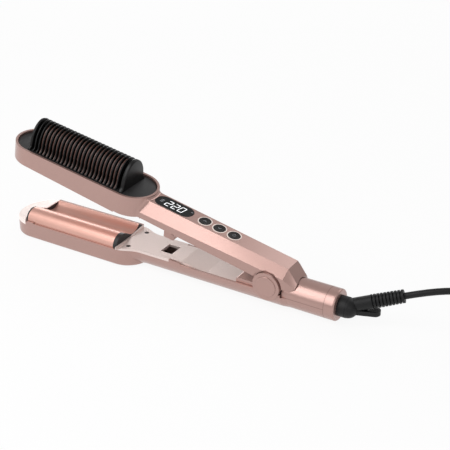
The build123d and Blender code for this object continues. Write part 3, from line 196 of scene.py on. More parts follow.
@dataclass(frozen=True)
class SprayedLacquer:
    """Metallic spray lacquer: flakes under a clear coat, with faint orange peel."""

    name: str
    colour: tuple[float, float, float]
    metallic: float = 0.62
    roughness: float = 0.3
    coat: float = 0.25

    def material(self) -> bpy.types.Material:
        """Builds the lacquer's node tree."""
        recipe = Recipe(self.name)
        where = recipe.place()
        flakes = recipe.noise(where, 3800, 1.0)
        clouds = recipe.noise(where, 28, 2.0)
        peel = recipe.noise(where, 900, 1.0)
        share = (flakes * 0.7 + clouds * 0.3).clamp()
        tint = recipe.blend(share, darker(self.colour, 0.9), darker(self.colour, 1.1))
        recipe.feed("Base Color", tint)
        recipe.feed("Metallic", self.metallic)
        recipe.feed("Roughness", flakes * 0.1 + (self.roughness - 0.05))
        recipe.feed("Coat Weight", self.coat)
        recipe.feed("Coat Roughness", 0.12)
        recipe.bump(peel, 0.000012)
        return recipe.material


@dataclass(frozen=True)
class DrawnPlate:
    """Anodised aluminium, drawn along its length, so its fine lines run along X."""

    name: str
    colour: tuple[float, float, float]
    roughness: float = 0.33

    def material(self) -> bpy.types.Material:
        """Builds the plate's node tree."""
        recipe = Recipe(self.name)
        lines = recipe.noise(recipe.place((0.02, 1, 1)), 5200, 2.0)
        bands = recipe.noise(recipe.place((0.05, 1, 1)), 420, 2.0)
        share = (lines * 0.5 + bands * 0.5).clamp()
        tint = recipe.blend(share, darker(self.colour, 0.84), darker(self.colour, 1.12))
        recipe.feed("Base Color", tint)
        recipe.feed("Metallic", 0.7)
        recipe.feed("Roughness", lines * 0.14 + (self.roughness - 0.07))
        recipe.bump(lines, 0.000008)
        return recipe.material


@dataclass(frozen=True)
class MouldedPlastic:
    """Plastic with the fine spark-eroded grain of its mould."""

    name: str
    colour: tuple[float, float, float]
    roughness: float = 0.5
    grain: float = 0.00002
    contrast: float = 0.16
    shine: float = 0.5

    def material(self) -> bpy.types.Material:
        """Builds the plastic's node tree."""
        recipe = Recipe(self.name)
        where = recipe.place()
        grain = recipe.noise(where, 2600, 2.0)
        clouds = recipe.noise(where, 60, 2.0)
        tint = recipe.blend(
            (grain * 0.5 + clouds * 0.5).clamp(),
            darker(self.colour, 1 - self.contrast),
            darker(self.colour, 1 + self.contrast),
        )
        recipe.feed("Base Color", tint)
        recipe.feed("Roughness", clouds * 0.16 + (self.roughness - 0.08))
        recipe.feed("Specular IOR Level", self.shine)
        recipe.bump(grain, self.grain)
        return recipe.material


@dataclass(frozen=True)
class WorkedMetal:
    """Plain metal with short tool marks along one axis."""

    name: str
    colour: tuple[float, float, float]
    roughness: float = 0.32
    along: tuple[float, float, float] = (1.0, 0.06, 1.0)

    def material(self) -> bpy.types.Material:
        """Builds the metal's node tree."""
        recipe = Recipe(self.name)
        marks = recipe.noise(recipe.place(self.along), 3000, 2.0)
        tint = recipe.blend(marks, darker(self.colour, 0.75), darker(self.colour, 1.15))
        recipe.feed("Base Color", tint)
        recipe.feed("Metallic", 1.0)
        recipe.feed("Roughness", marks * 0.2 + (self.roughness - 0.1))
        recipe.bump(marks, 0.00001)
        return recipe.material


@dataclass(frozen=True)
class SmokedPane:
    """Dark, glossy clear plastic over a display, with hair-fine polishing marks."""

    name: str
    colour: tuple[float, float, float]

    def material(self) -> bpy.types.Material:
        """Builds the pane's node tree."""
        recipe = Recipe(self.name)
        marks = recipe.noise(recipe.place((1, 0.1, 1)), 4200, 1.0)
        tint = recipe.blend(marks, darker(self.colour, 0.8), darker(self.colour, 1.2))
        recipe.feed("Base Color", tint)
        recipe.feed("Roughness", marks * 0.08 + 0.22)
        recipe.feed("Specular IOR Level", 0.25)
        return recipe.material


@dataclass(frozen=True)
class LitMark:
    """A lit mark, or a printed mark with a painted glow, that shows as its own colour."""

    name: str
    colour: tuple[float, float, float]
    glow: float = 1.0

    def material(self) -> bpy.types.Material:
        """Builds the mark's node tree."""
        recipe = Recipe(self.name)
        specks = recipe.noise(recipe.place(), 5000, 1.0)
        tint = recipe.blend(specks, darker(self.colour, 0.92), self.colour)
        recipe.feed("Base Color", tint)
        recipe.feed("Emission Color", tint)
        recipe.feed("Emission Strength", self.glow)
        recipe.feed("Roughness", specks * 0.1 + 0.35)
        return recipe.material


class Finish(Enum):
    """Every finish on the hair waver."""

    ROSE = SprayedLacquer("rose_lacquer", shade(177, 143, 135))
    PALE_ROSE = SprayedLacquer("pale_rose_lacquer", shade(229, 212, 206), 0.5, 0.3, 0.2)
    # Tip cap: pale rose lacquer made lighter than the covers' pale rose; the extra lightness is a
    # painted sheen standing in for the lamp's highlight on its sloping top.
    TIP_PAINTED_SHEEN = SprayedLacquer("tip_lacquer_painted_sheen", shade(252, 238, 232), 0.15, 0.36, 0.2)
    # Painted shadow of the fine seam gaps, put on thin dark strips.
    SEAM_SHADOW = MouldedPlastic("seam_shadow", shade(112, 84, 78), 0.6)
    COPPER = DrawnPlate("rose_anodised_plate", shade(222, 174, 160), 0.42)
    BLACK = MouldedPlastic("heat_proof_black", shade(30, 29, 30), 0.46)
    # Comb fins: black plastic, made darker than the comb plate's black as painted shade; fins and
    # plate are one moulding.
    COMB_SHADED = MouldedPlastic("comb_black_painted_shade", shade(13, 12, 12), 0.36, shine=0.3)
    TOOTH = MouldedPlastic("coated_tooth", shade(92, 58, 48), 0.4)
    BUTTON = MouldedPlastic("button_cap", shade(24, 20, 19), 0.5, shine=0.25)
    PANE = SmokedPane("smoked_pane", shade(6, 7, 8))
    LIGHT_RING = MouldedPlastic("pale_button_ring", shade(240, 224, 216), 0.3, 0.000008, 0.04)
    LIT = LitMark("lit_segments", shade(244, 246, 248))
    # Dim marks: grey with a half-strength glow; on the printed marks of the buttons this is a
    # painted glow.
    DIM_GLOW = LitMark("dim_marks", shade(120, 122, 126), 0.5)
    STEEL = WorkedMetal("plain_steel", shade(150, 150, 154))
    DARK_STEEL = WorkedMetal("blackened_steel", shade(74, 66, 64), 0.4)
    BRASS = WorkedMetal("plain_brass", shade(196, 160, 84), 0.26)
    CERAMIC = MouldedPlastic("heater_casing", shade(206, 200, 188), 0.6)
    BOARD = MouldedPlastic("solder_mask", shade(44, 92, 62), 0.34, 0.00001)
    WHITE_BODY = MouldedPlastic("display_body", shade(220, 220, 214), 0.5)
    SHEATH = MouldedPlastic("cord_sheath", shade(17, 17, 18), 0.44, 0.000015, shine=0.3)
    RUBBER = MouldedPlastic("swivel_rubber", shade(17, 17, 18), 0.5, 0.00003, shine=0.3)


class Wardrobe:
    """Makes each finish once and puts it on pieces and nodes."""

    def __init__(self) -> None:
        """Starts with no material made."""
        self.made: dict[Finish, bpy.types.Material] = {}

    def get(self, finish: Finish) -> bpy.types.Material:
        """The material of a finish, made at its first use."""
        if finish not in self.made:
            self.made[finish] = finish.value.material()
        return self.made[finish]

    def dress(self, piece: bpy.types.Object, finish: Finish) -> None:
        """Gives a piece or a CAD node one finish, in every slot it has."""
        slots = piece.data.materials
        if not slots:
            slots.append(self.get(finish))
        for index in range(len(slots)):
            slots[index] = self.get(finish)


wardrobe = Wardrobe()


class Surface:
    """Meshes worked out as whole arrays of points."""

    @staticmethod
    def grid(
        name: str,
        points: np.ndarray,
        wrap_rows: bool = False,
        wrap_columns: bool = False,
        caps: bool = False,
    ) -> bpy.types.Object:
        """Joins a grid of points with four-sided faces.

        Args:
            name: The piece's name.
            points: Array of rows x columns x 3, in metres.
            wrap_rows: Joins the last row to the first.
            wrap_columns: Joins the last column to the first.
            caps: Closes the first and last row with one face each.

        Returns:
            The new object, in the scene.
        """
        rows, columns = points.shape[:2]
        index = np.arange(rows * columns).reshape(rows, columns)
        if wrap_rows:
            index = np.concatenate([index, index[:1]], 0)
        if wrap_columns:
            index = np.concatenate([index, index[:, :1]], 1)
        corners = np.stack([index[:-1, :-1], index[:-1, 1:], index[1:, 1:], index[1:, :-1]], -1)
        faces = corners.reshape(-1, 4).tolist()
        if caps:
            faces.append(index[0, :columns][::-1].tolist())
            faces.append(index[-1, :columns].tolist())
        return Surface.piece(name, points.reshape(-1, 3), faces)

    @staticmethod
    def piece(name: str, points: np.ndarray, faces: list[list[int]]) -> bpy.types.Object:
        """Makes an object with smooth faces that point outwards.

        Args:
            name: The piece's name.
            points: Array of points, in metres.
            faces: Point numbers of each face.

        Returns:
            The new object, in the scene.
        """
        mesh = bpy.data.meshes.new(name)
        mesh.from_pydata(points.tolist(), [], faces)
        if Surface.volume(mesh) < 0:
            mesh.flip_normals()
        mesh.update()
        mesh.polygons.foreach_set("use_smooth", [True] * len(mesh.polygons))
        mesh.set_sharp_from_angle(angle=math.radians(38))
        made = bpy.data.objects.new(name, mesh)
        bpy.context.scene.collection.objects.link(made)
        return made

    @staticmethod
    def volume(mesh: bpy.types.Mesh) -> float:
        """Signed volume of a closed mesh, from the triangles of its faces."""
        mesh.calc_loop_triangles()
        points = np.empty(len(mesh.vertices) * 3)
        mesh.vertices.foreach_get("co", points)
        corners = np.empty(len(mesh.loop_triangles) * 3, dtype=np.int64)
        mesh.loop_triangles.foreach_get("vertices", corners)
        first, second, third = points.reshape(-1, 3)[corners.reshape(-1, 3)].transpose(1, 0, 2)
        return float(np.einsum("ij,ij->i", first, np.cross(second, third)).sum() / 6)

    @staticmethod
    def join(name: str, pieces: Sequence[bpy.types.Object]) -> bpy.types.Object:
        """Makes one object of several, and drops the parts.

        Args:
            name: The joined piece's name.
            pieces: The objects to join, all at the origin.

        Returns:
            The joined object.
        """
        points: list[np.ndarray] = []
        faces: list[list[int]] = []
        offset = 0
        for part in pieces:
            mesh = part.data
            flat = np.empty(len(mesh.vertices) * 3)
            mesh.vertices.foreach_get("co", flat)
            points.append(flat.reshape(-1, 3))
            faces.extend([[v + offset for v in face.vertices] for face in mesh.polygons])
            offset += len(mesh.vertices)
            bpy.data.objects.remove(part)
            bpy.data.meshes.remove(mesh)
        return Surface.piece(name, np.concatenate(points), faces)


@dataclass(frozen=True)
class ArmFrame:
    """Places of the raised upper arm, in millimetres from the hinge along the shut arm."""

    hinge_x: float = 108.8
    hinge_z: float = 22.0
    raised: float = 9.9
    deck_front: tuple[float, float] = (-140.0, 24.4)
    deck_back: tuple[float, float] = (13.5, 20.5)

    def point(self, along: np.ndarray, across: np.ndarray, up: np.ndarray) -> np.ndarray:
        """Turns lengths along, across and up the arm into metres in the part's frame.

        Args:
            along: Millimetres from the hinge towards the tail.
            across: Millimetres towards the far side.
            up: Millimetres above the hinge, square to the arm.

        Returns:
            Points of the same shape, with one axis more.
        """
        angle = math.radians(self.raised)
        along, across, up = np.broadcast_arrays(along, across, up)
        x = self.hinge_x + along * math.cos(angle) + up * math.sin(angle)
        z = self.hinge_z - along * math.sin(angle) + up * math.cos(angle)
        return np.stack([x, across.astype(float), z], -1) * MM

    def on_deck(self, along: np.ndarray, across: np.ndarray, proud: np.ndarray) -> np.ndarray:
        """Points over the sloping top of the handle.

        Args:
            along: Millimetres from the hinge, along the deck.
            across: Millimetres towards the far side.
            proud: Millimetres above the deck, square to it.

        Returns:
            Points in metres in the part's frame.
        """
        slope = math.atan2(
            self.deck_front[1] - self.deck_back[1], self.deck_back[0] - self.deck_front[0]
        )
        height = self.deck_front[1] + (self.deck_front[0]) * math.tan(slope)
        x = along * math.cos(slope) + proud * math.sin(slope)
        z = height - along * math.sin(slope) + proud * math.cos(slope)
        return self.point(x, across, z)


arm = ArmFrame()


@dataclass
class Comb:
    """Comb on the back of the upper head: a plate with bell-shaped fins and an end block."""

    front: float = 261.6
    back: float = 154.3
    end_fin: float = 2.6
    end_block: float = 4.2
    fins: int = 24
    thickness: float = 1.2
    foot: float = 18.9
    shoulder: float = 15.2
    shoulder_height: float = 8.2
    height: float = 25.9
    plate_bottom: float = 23.3
    plate_top: float = 25.3
    tip: float = 284.1
    head_back: float = 130.3
    head_width: float = 47.4
    wall: float = 2.4
    fit: float = 0.2
    fin_edge: float = 0.5
    tip_edge: float = 0.9
    block_edge: float = 1.2

    def outline(self) -> tuple[np.ndarray, np.ndarray]:
        """Bell-shaped outline of a fin, foot to foot over the top.

        The half-width falls with height through the foot, shoulder and flank points, on a
        cardinal spline through them.

        Returns:
            Widths and heights above the plate, in millimetres.
        """
        ctrl = np.array(
            [
                (self.foot, -2.0),
                (self.foot, -0.4),
                (self.foot - 0.9, 1.3),
                (self.shoulder + 0.9, 0.42 * self.shoulder_height),
                (self.shoulder, self.shoulder_height),
                (0.9 * self.shoulder, 0.55 * self.height),
                (0.66 * self.shoulder, 0.795 * self.height),
                (0.35 * self.shoulder, 0.943 * self.height),
                (0.0, self.height),
            ]
        )
        both = np.concatenate([ctrl, (ctrl[:-1] * (-1, 1))[::-1]])
        padded = np.concatenate([2 * both[:1] - both[1:2], both, 2 * both[-1:] - both[-2:-1]])
        share = np.linspace(0, 1, 7)[:-1, None]
        before, start, end, after = (padded[i : len(padded) - 3 + i, None] for i in range(4))
        curve = 0.5 * (
            2 * start
            + (end - before) * share
            + (2 * before - 5 * start + 4 * end - after) * share**2
            + (3 * start - before - 3 * end + after) * share**3
        )
        line = np.concatenate([curve.reshape(-1, 2), both[-1:]])
        return line[:, 0], line[:, 1]

    def slab(self, name: str, start: float, thick: float, edge: float) -> bpy.types.Object:
        """One fin: the outline swept across its thickness, with a round edge.

        Args:
            name: The piece's name.
            start: Millimetres from the hinge to its tip-side face.
            thick: Its thickness.
            edge: Radius of its edge.

        Returns:
            The fin, standing on the comb's plate.
        """
        width, height = self.outline()
        run = np.gradient(width), np.gradient(height)
        size = np.hypot(*run)
        inward = -run[1] / size, run[0] / size
        turn = np.linspace(0, math.pi / 2, 5)
        step = np.concatenate([edge * (1 - np.cos(turn)), thick - edge * (1 - np.cos(turn[::-1]))])
        inset = np.concatenate([edge * (1 - np.sin(turn)), edge * (1 - np.sin(turn[::-1]))])
        across = width + inset[:, None] * inward[0]
        up = self.plate_top + height + inset[:, None] * inward[1]
        points = arm.point(start + step[:, None], across, up)
        return Surface.grid(name, points, wrap_columns=True, caps=True)

    def plate(self) -> bpy.types.Object:
        """Stadium-shaped plate that the fins stand on, with a rounded upper rim."""
        radius = self.head_width / 2 - self.wall - self.fit
        half = (self.tip - self.head_back) / 2 - self.wall - self.fit
        middle = -(self.tip + self.head_back) / 2
        turn = np.linspace(0, 2 * math.pi, 97)[:-1] + 0.001
        lift = np.linspace(0, math.pi / 2, 5)
        round_edge = 0.6
        inset = np.concatenate([[0.3, 0.0], round_edge * (1 - np.cos(lift))])
        top = self.plate_top - round_edge + round_edge * np.sin(lift)
        up = np.concatenate([[self.plate_bottom, self.plate_bottom + 0.3], top])
        reach = (radius - inset)[:, None]
        along = middle + np.sign(np.cos(turn)) * (half - radius) + reach * np.cos(turn)
        points = arm.point(along, reach * np.sin(turn), up[:, None])
        return Surface.grid("comb_plate", points, wrap_columns=True, caps=True)

    def build(self) -> None:
        """Builds the comb in place of its plain solid."""
        clear = self.front - self.back - self.end_fin - self.end_block
        space = (clear - self.fins * self.thickness) / (self.fins + 1)
        starts = -self.front + self.end_fin + space + np.arange(self.fins) * (space + self.thickness)
        slabs = [
            self.slab(f"fin_{i}", start, self.thickness, self.fin_edge)
            for i, start in enumerate(starts)
        ]
        slabs.append(self.slab("fin_tip", -self.front, self.end_fin, self.tip_edge))
        block = -self.back - self.end_block
        slabs.append(self.slab("fin_block", block, self.end_block, self.block_edge))
        fins = Surface.join("comb_fins", slabs)
        plate = self.plate()
        # The fins get a darker black than the plate: painted shade on one black moulding.
        for piece, finish in ((fins, Finish.COMB_SHADED), (plate, Finish.BLACK)):
            wardrobe.dress(piece, finish)
            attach(piece, "upper_arm")
        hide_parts("comb_guard")
        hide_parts("comb_guard")
        log.info("comb: %d fins, a tip fin and an end block", self.fins)


@dataclass
class NeckCove:
    """Concave blend where the raised handle runs into the rear wall of the upper head."""

    head_centre: float = 154.0
    head_radius: float = 23.7
    side: tuple[float, float] = (16.2, 7.6)
    shoulder: tuple[float, float] = (16.2, 13.1)
    deck: tuple[float, float] = (9.55, 24.2)
    rim: float = 26.5
    radius: float = 6.0
    least: float = 0.5
    proud: float = 0.03

    def section(self) -> tuple[np.ndarray, np.ndarray]:
        """The handle's outline from the near side over the deck to the far side.

        A ball that rolls along it turns about each corner, so a corner is given several
        times, with normals that turn from one face to the next.

        Returns:
            Points and outward normals, across and up.
        """
        half = np.array([self.side, self.shoulder, self.deck])
        corners = np.concatenate([half * (-1, 1), half[::-1]])
        runs = np.diff(corners, axis=0)
        size = np.hypot(runs[:, 0], runs[:, 1])
        angles = np.arctan2(runs[:, 0], -runs[:, 1])
        points, turns = [], []
        for number, (start, run) in enumerate(zip(corners[:-1], runs)):
            along = np.linspace(0, 1, max(3, int(size[number] / 1.2)))[:, None]
            points.append(start + along * run)
            turns.append(np.full(len(along), angles[number]))
            if number + 1 < len(runs):
                points.append(np.repeat(corners[number + 1 : number + 2], 5, 0))
                turns.append(np.linspace(angles[number], angles[number + 1], 7)[1:-1])
        outline, turn = np.concatenate(points), np.concatenate(turns)
        return outline, np.stack([np.cos(turn), np.sin(turn)], -1)

    def build(self) -> None:
        """Builds the blend as the trace of a rolling ball, closed behind its face.

        The ball touches the head's wall, a cylinder, and the handle. Near the deck it is
        smaller, so that it stays under the head's rim.
        """
        outline, normal = self.section()
        room = (self.rim - outline[:, 1]) / np.maximum(normal[:, 1], 0.1)
        ball = np.clip(room, self.least, self.radius)[:, None]
        centre = outline + ball * normal
        reach = self.head_radius + ball[:, 0]
        back = np.sqrt(reach**2 - centre[:, 0] ** 2)
        to_wall = -np.stack([back / reach, centre[:, 0] / reach, 0 * back], -1)
        to_handle = -np.stack([0 * back, normal[:, 0], normal[:, 1]], -1)
        opening = np.arccos(np.clip((to_wall * to_handle).sum(-1), -1, 1))[:, None, None]
        share = np.linspace(0, 1, 9)[:, None]
        from_wall = np.sin((1 - share) * opening) * to_wall[:, None]
        from_handle = np.sin(share * opening) * to_handle[:, None]
        arc = (from_wall + from_handle) / np.sin(opening)
        middle = np.stack([back - self.head_centre, centre[:, 0], centre[:, 1]], -1)
        face = middle[:, None] + (ball[:, :, None] - self.proud) * arc
        root = middle + (to_wall + to_handle) * (ball + self.least)
        loops = np.concatenate([face, root[:, None]], 1)
        points = arm.point(loops[..., 0], loops[..., 1], loops[..., 2])
        piece = Surface.grid("neck_cove", points, wrap_columns=True, caps=True)
        wardrobe.dress(piece, Finish.ROSE)
        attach(piece, "upper_arm")
        log.info("cove: %d stations", len(outline))


SEGMENTS = {"2": "abged", "0": "abcdef"}


@dataclass
class Display:
    """Lit seven-segment figures and dim marks under the smoked pane."""

    start: float = -117.2
    figure_width: float = 4.5
    figure_height: float = 8.2
    pitch: float = 6.9
    stroke: float = 0.62
    slant: float = 0.16
    proud: float = 0.05
    sunk: float = 0.1
    mark_stroke: float = 0.7

    def bar(self, name: str, ends: Sequence[float], stroke: float) -> bpy.types.Object:
        """One straight bar with pointed ends.

        Args:
            name: The piece's name.
            ends: Along and across of its two ends, in millimetres.
            stroke: Its width.

        Returns:
            The bar, standing proud of the pane.
        """
        from_x, from_y, to_x, to_y = ends
        length = math.hypot(to_x - from_x, to_y - from_y)
        way = np.array([(to_x - from_x) / length, (to_y - from_y) / length])
        side = np.array([-way[1], way[0]]) * stroke / 2
        tip = way * stroke / 2
        low, high = np.array([from_x, from_y]) + tip * 0.2, np.array([to_x, to_y]) - tip * 0.2
        near = [low, low + tip + side, high - tip + side]
        far = [high, high - tip - side, low + tip - side]
        loop = np.array(near + far)
        along = loop[:, 0] + loop[:, 1] * self.slant
        heights = np.array([[-self.sunk], [self.proud]])
        points = arm.on_deck(*np.broadcast_arrays(along, loop[:, 1], heights))
        return Surface.grid(name, points, wrap_columns=True, caps=True)

    def figure(self, digit: str, left: float) -> list[bpy.types.Object]:
        """The bars of one figure.

        Args:
            digit: The figure to show.
            left: Its left edge, in millimetres from the hinge.

        Returns:
            One piece for each lit bar.
        """
        right, low, high = left + self.figure_width, -self.figure_height / 2, self.figure_height / 2
        ends = {
            "a": (left, high, right, high),
            "b": (right, high, right, 0.0),
            "c": (right, 0.0, right, low),
            "d": (left, low, right, low),
            "e": (left, 0.0, left, low),
            "f": (left, high, left, 0.0),
            "g": (left, 0.0, right, 0.0),
        }
        return [self.bar(f"bar_{part}", ends[part], self.stroke) for part in SEGMENTS[digit]]

    def side_mark(self, height: float) -> tuple[float, float, float, float]:
        """Ends of a dim mark in front of the figures, at a height across the deck."""
        return self.start - 6.6, height, self.start - 3.4, height

    def build(self) -> None:
        """Builds the lit figures and the dim marks beside them."""
        lit = [
            part
            for place, digit in enumerate("220")
            for part in self.figure(digit, self.start + place * self.pitch)
        ]
        figures = Surface.join("display_figures", lit)
        dim = [
            self.bar(f"mark_{i}", self.side_mark(height), self.mark_stroke)
            for i, height in enumerate((-1.6, 0.0, 1.6))
        ]
        unit = (self.start + 23.2, 3.2, self.start + 25.6, 3.2)
        dim.append(self.bar("mark_unit", unit, self.mark_stroke))
        marks = Surface.join("display_marks", dim)
        for piece, finish in ((figures, Finish.LIT), (marks, Finish.DIM_GLOW)):
            wardrobe.dress(piece, finish)
            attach(piece, "upper_arm")
        log.info("display: 3 figures and 4 dim marks")


class Sign(Enum):
    """Marks on the three buttons."""

    UP = "button_up"
    DOWN = "button_down"
    POWER = "button_power"


@dataclass
class ButtonRow:
    """Three round buttons with dished tops and a small printed mark each."""

    first: float = 76.5
    pitch: float = 15.2
    radius: float = 5.65
    proud: float = 0.7
    dish: float = 0.35
    rim: float = 0.45
    sign_radius: float = 1.5
    sign_stroke: float = 0.42
    bodies: dict[Sign, str] = field(
        default_factory=lambda: {
            Sign.UP: "up_button",
            Sign.DOWN: "down_button",
            Sign.POWER: "power_button",
        }
    )

    def crown(self, name: str, centre: float) -> bpy.types.Object:
        """Turned crown of a button: a straight side, a round rim and a shallow dish.

        Args:
            name: The piece's name.
            centre: Millimetres from the hinge along the deck.

        Returns:
            The closed crown.
        """
        lift = np.linspace(0, math.pi / 2, 6)
        flat = self.radius - self.rim
        out = np.concatenate([[self.radius], flat + self.rim * np.cos(lift)])
        up = np.concatenate([[-1.5], self.proud - self.rim + self.rim * np.sin(lift)])
        inner = np.linspace(flat, 0.05, 10)[1:]
        share = 1 - (inner / flat) ** 2
        out = np.concatenate([out, inner])
        up = np.concatenate([up, self.proud - self.dish * share])
        turn = np.linspace(0, 2 * math.pi, 65)[:-1]
        along = centre + out[:, None] * np.cos(turn)
        points = arm.on_deck(along, out[:, None] * np.sin(turn), up[:, None])
        return Surface.grid(name, points, wrap_columns=True, caps=True)

    def sign(self, which: Sign, centre: float) -> bpy.types.Object:
        """The printed mark on a button, from thin bars.

        Args:
            which: The button it is on.
            centre: Millimetres from the hinge along the deck.

        Returns:
            One joined piece.
        """
        pen = Display(slant=0.0, proud=self.proud - self.dish + 0.1)
        lines: list[tuple[float, float, float, float]] = []
        if which is Sign.POWER:
            turn = np.radians(np.linspace(130, 410, 15))
            ring = self.sign_radius * np.stack([np.cos(turn), np.sin(turn)], -1)
            lines = [(*ring[i], *ring[i + 1]) for i in range(14)]
            lines.append((0.0, 0.4, 0.0, 2.2))
        else:
            flip = 1 if which is Sign.UP else -1
            lines = [(-1.6, -0.8 * flip, 0.0, 0.9 * flip), (0.0, 0.9 * flip, 1.6, -0.8 * flip)]
        bars = [
            pen.bar(f"line_{i}", (centre + x1, y1, centre + x2, y2), self.sign_stroke)
            for i, (x1, y1, x2, y2) in enumerate(lines)
        ]
        return Surface.join(which.value + "_mark", bars)

    def build(self) -> None:
        """Builds each button's crown and mark."""
        for place, (which, body) in enumerate(self.bodies.items()):
            centre = -self.first + place * self.pitch
            crown = self.crown(which.value + "_crown", centre)
            mark = self.sign(which, centre)
            wardrobe.dress(crown, Finish.BUTTON)
            # The button's printed mark carries a painted glow.
            wardrobe.dress(mark, Finish.DIM_GLOW)
            for piece, slot in ((crown, "black_plastic"), (mark, "light_ring")):
                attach(piece, body)
            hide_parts(which.value)
            log.info("button %s on %s", which.value, body)


@dataclass
class Sleeve:
    """Ribbed strain relief round the cord where it leaves the swivel."""

    elbow: tuple[float, float, float] = (175.0, 0.0, 14.25)
    start: float = 24.0
    length: float = 28.0
    start_radius: float = 6.3
    end_radius: float = 5.8
    ribs: int = 9
    groove: float = 1.5

    def build(self, way: np.ndarray) -> None:
        """Builds the sleeve as one turned shape with rounded ribs.

        The radius falls evenly along the sleeve and dips between ribs by a raised sine.

        Args:
            way: Unit direction of the cord.
        """
        reach = np.linspace(0, 1, 9 * self.ribs * 2 + 1)
        dip = np.clip(np.sin((reach * (self.ribs + 0.5) - 0.35) * 2 * math.pi) * 2.2 - 0.6, 0, 1)
        dip = np.where((reach < 0.03) | (reach > 0.97), 0, dip)
        radius = self.start_radius + (self.end_radius - self.start_radius) * reach
        radius = radius - self.groove * dip
        radius[0] -= 0.35
        radius[-1] -= 0.5
        across = np.cross(way, (0.0, 0.0, 1.0))
        across /= np.linalg.norm(across)
        over = np.cross(across, way)
        turn = np.linspace(0, 2 * math.pi, 49)[:-1, None]
        ring = np.cos(turn) * across + np.sin(turn) * over
        centre = np.array(self.elbow) + (self.start + reach * self.length)[:, None] * way
        points = (centre[:, None] + radius[:, None, None] * ring[None]) * MM
        piece = Surface.grid("strain_relief_ribs", points, wrap_columns=True, caps=True)
        wardrobe.dress(piece, Finish.RUBBER)
        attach(piece, "cord_swivel")
        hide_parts("strain_relief")
        log.info("sleeve: %d ribs", self.ribs)


@dataclass
class MainsCord:
    """Round mains cord on one smooth line: out of the sleeve, a tied coil, and on to the plug."""

    radius: float = 2.9
    lead: tuple[tuple[float, float, float], ...] = (
        (221.47, 16.92, 30.32),
        (249.71, 27.2, 40.09),
        (279.4, 38.0, 40.0),
        (299.0, 45.4, 13.7),
        (316.7, 52.0, 3.8),
    )
    tail: tuple[tuple[float, float, float], ...] = (
        (369.5, 52.0, 11.8),
        (386.7, 40.1, 14.2),
        (394.3, 19.0, 18.6),
        (386.8, -3.1, 21.05),
        (367.1, -15.7, 21.05),
        (343.6, -16.6, 21.05),
    )
    coil_centre: tuple[float, float] = (343.0, 12.0)
    coil_outer: float = 40.0
    coil_step: float = 6.4
    inward: int = 7
    top: float = 11.2
    bottom: float = 3.8
    angle_step: float = 15.0
    outward_shift: float = 0.75
    spread_trim: float = 0.9985

    def turns(self) -> np.ndarray:
        """Points of the coil: half circles inwards, one up, then half circles outwards.

        Each half circle is centred so that it starts where the last one ended. A point of the
        route lies a little outside the circle, because the smooth line cuts inside it.

        Returns:
            Array of points, in millimetres.
        """
        radii = [self.coil_outer - i * self.coil_step / 2 for i in range(self.inward)]
        inner = self.coil_outer - self.inward * self.coil_step / 2
        steps = np.arange(self.inward + 1) + self.outward_shift
        radii += [inner, *(inner + steps * self.coil_step / 2)]
        points = []
        across = self.coil_outer
        way = 1
        for number, radius in enumerate(radii):
            middle = across - way * radius
            angle = np.radians(np.arange(0, 180, self.angle_step) + self.angle_step / 2)
            climb = (angle / math.pi) if number == self.inward else float(number > self.inward)
            height = self.bottom + (self.top - self.bottom) * climb
            spread = radius / math.cos(math.radians(self.angle_step / 2)) * self.spread_trim
            points.append(
                np.stack(
                    [
                        self.coil_centre[0] + way * spread * np.sin(angle),
                        self.coil_centre[1] + middle + way * spread * np.cos(angle),
                        height + 0 * angle,
                    ],
                    -1,
                )
            )
            across -= way * 2 * radius
            way = -way
        return np.concatenate(points)

    def build(self) -> None:
        route = np.concatenate([np.array(self.lead), self.turns(), np.array(self.tail)]) * MM
        line = bpy.data.curves.new("mains_cord", "CURVE")
        line.dimensions = "3D"
        line.bevel_depth = self.radius * MM
        line.bevel_resolution = 5
        line.use_fill_caps = True
        spline = line.splines.new("NURBS")
        spline.points.add(len(route) - 1)
        spline.points.foreach_set("co", np.c_[route, np.ones(len(route))].ravel())
        spline.order_u = 3
        spline.use_endpoint_u = True
        spline.resolution_u = 6
        cord = bpy.data.objects.new("mains_cord", line)
        bpy.context.scene.collection.objects.link(cord)
        wardrobe.dress(cord, Finish.SHEATH)
        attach(cord, "cord_swivel")
        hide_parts("cord_lead", "cord_coil", "cord_tail")
        log.info("cord: %d points on its line", len(route))


@dataclass
class TailSeams:
    """Painted shadow of the tail's fine seams, on thin dark strips: one round it near its end, one
    along each side.
    """

    radius: float = 14.25
    height: float = 14.27
    front: float = 118.5
    ring: float = 162.0
    half_width: float = 0.16
    depth: float = 0.3
    proud: float = 0.02

    def build(self) -> None:
        """Builds the ring and the two straight strips of painted seam shadow as one piece."""
        turn = np.linspace(0, 2 * math.pi, 97)[:-1, None]
        along = self.ring + self.half_width * np.array([-1, 1, 1, -1])
        reach = self.radius + np.array([self.proud, self.proud, -self.depth, -self.depth])
        ring = np.stack(np.broadcast_arrays(along, reach * np.sin(turn), reach * np.cos(turn)), -1)
        ring = ring + (0, 0, self.height)
        pieces = [Surface.grid("seam_ring", ring * MM, wrap_rows=True, wrap_columns=True)]
        ends = np.array([[self.front], [self.ring]])
        up = self.height + self.half_width * np.array([-1, 1, 1, -1])
        for way in (-1, 1):
            side = np.stack(np.broadcast_arrays(ends, way * reach, up), -1)
            pieces.append(Surface.grid(f"seam_{way}", side * MM, wrap_columns=True, caps=True))
        piece = Surface.join("tail_seam_shadows", pieces)
        # The strips carry painted shadow of the seam gaps.
        wardrobe.dress(piece, Finish.SEAM_SHADOW)
        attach(piece, "lower_arm")
        log.info("tail: %d seams", len(pieces))


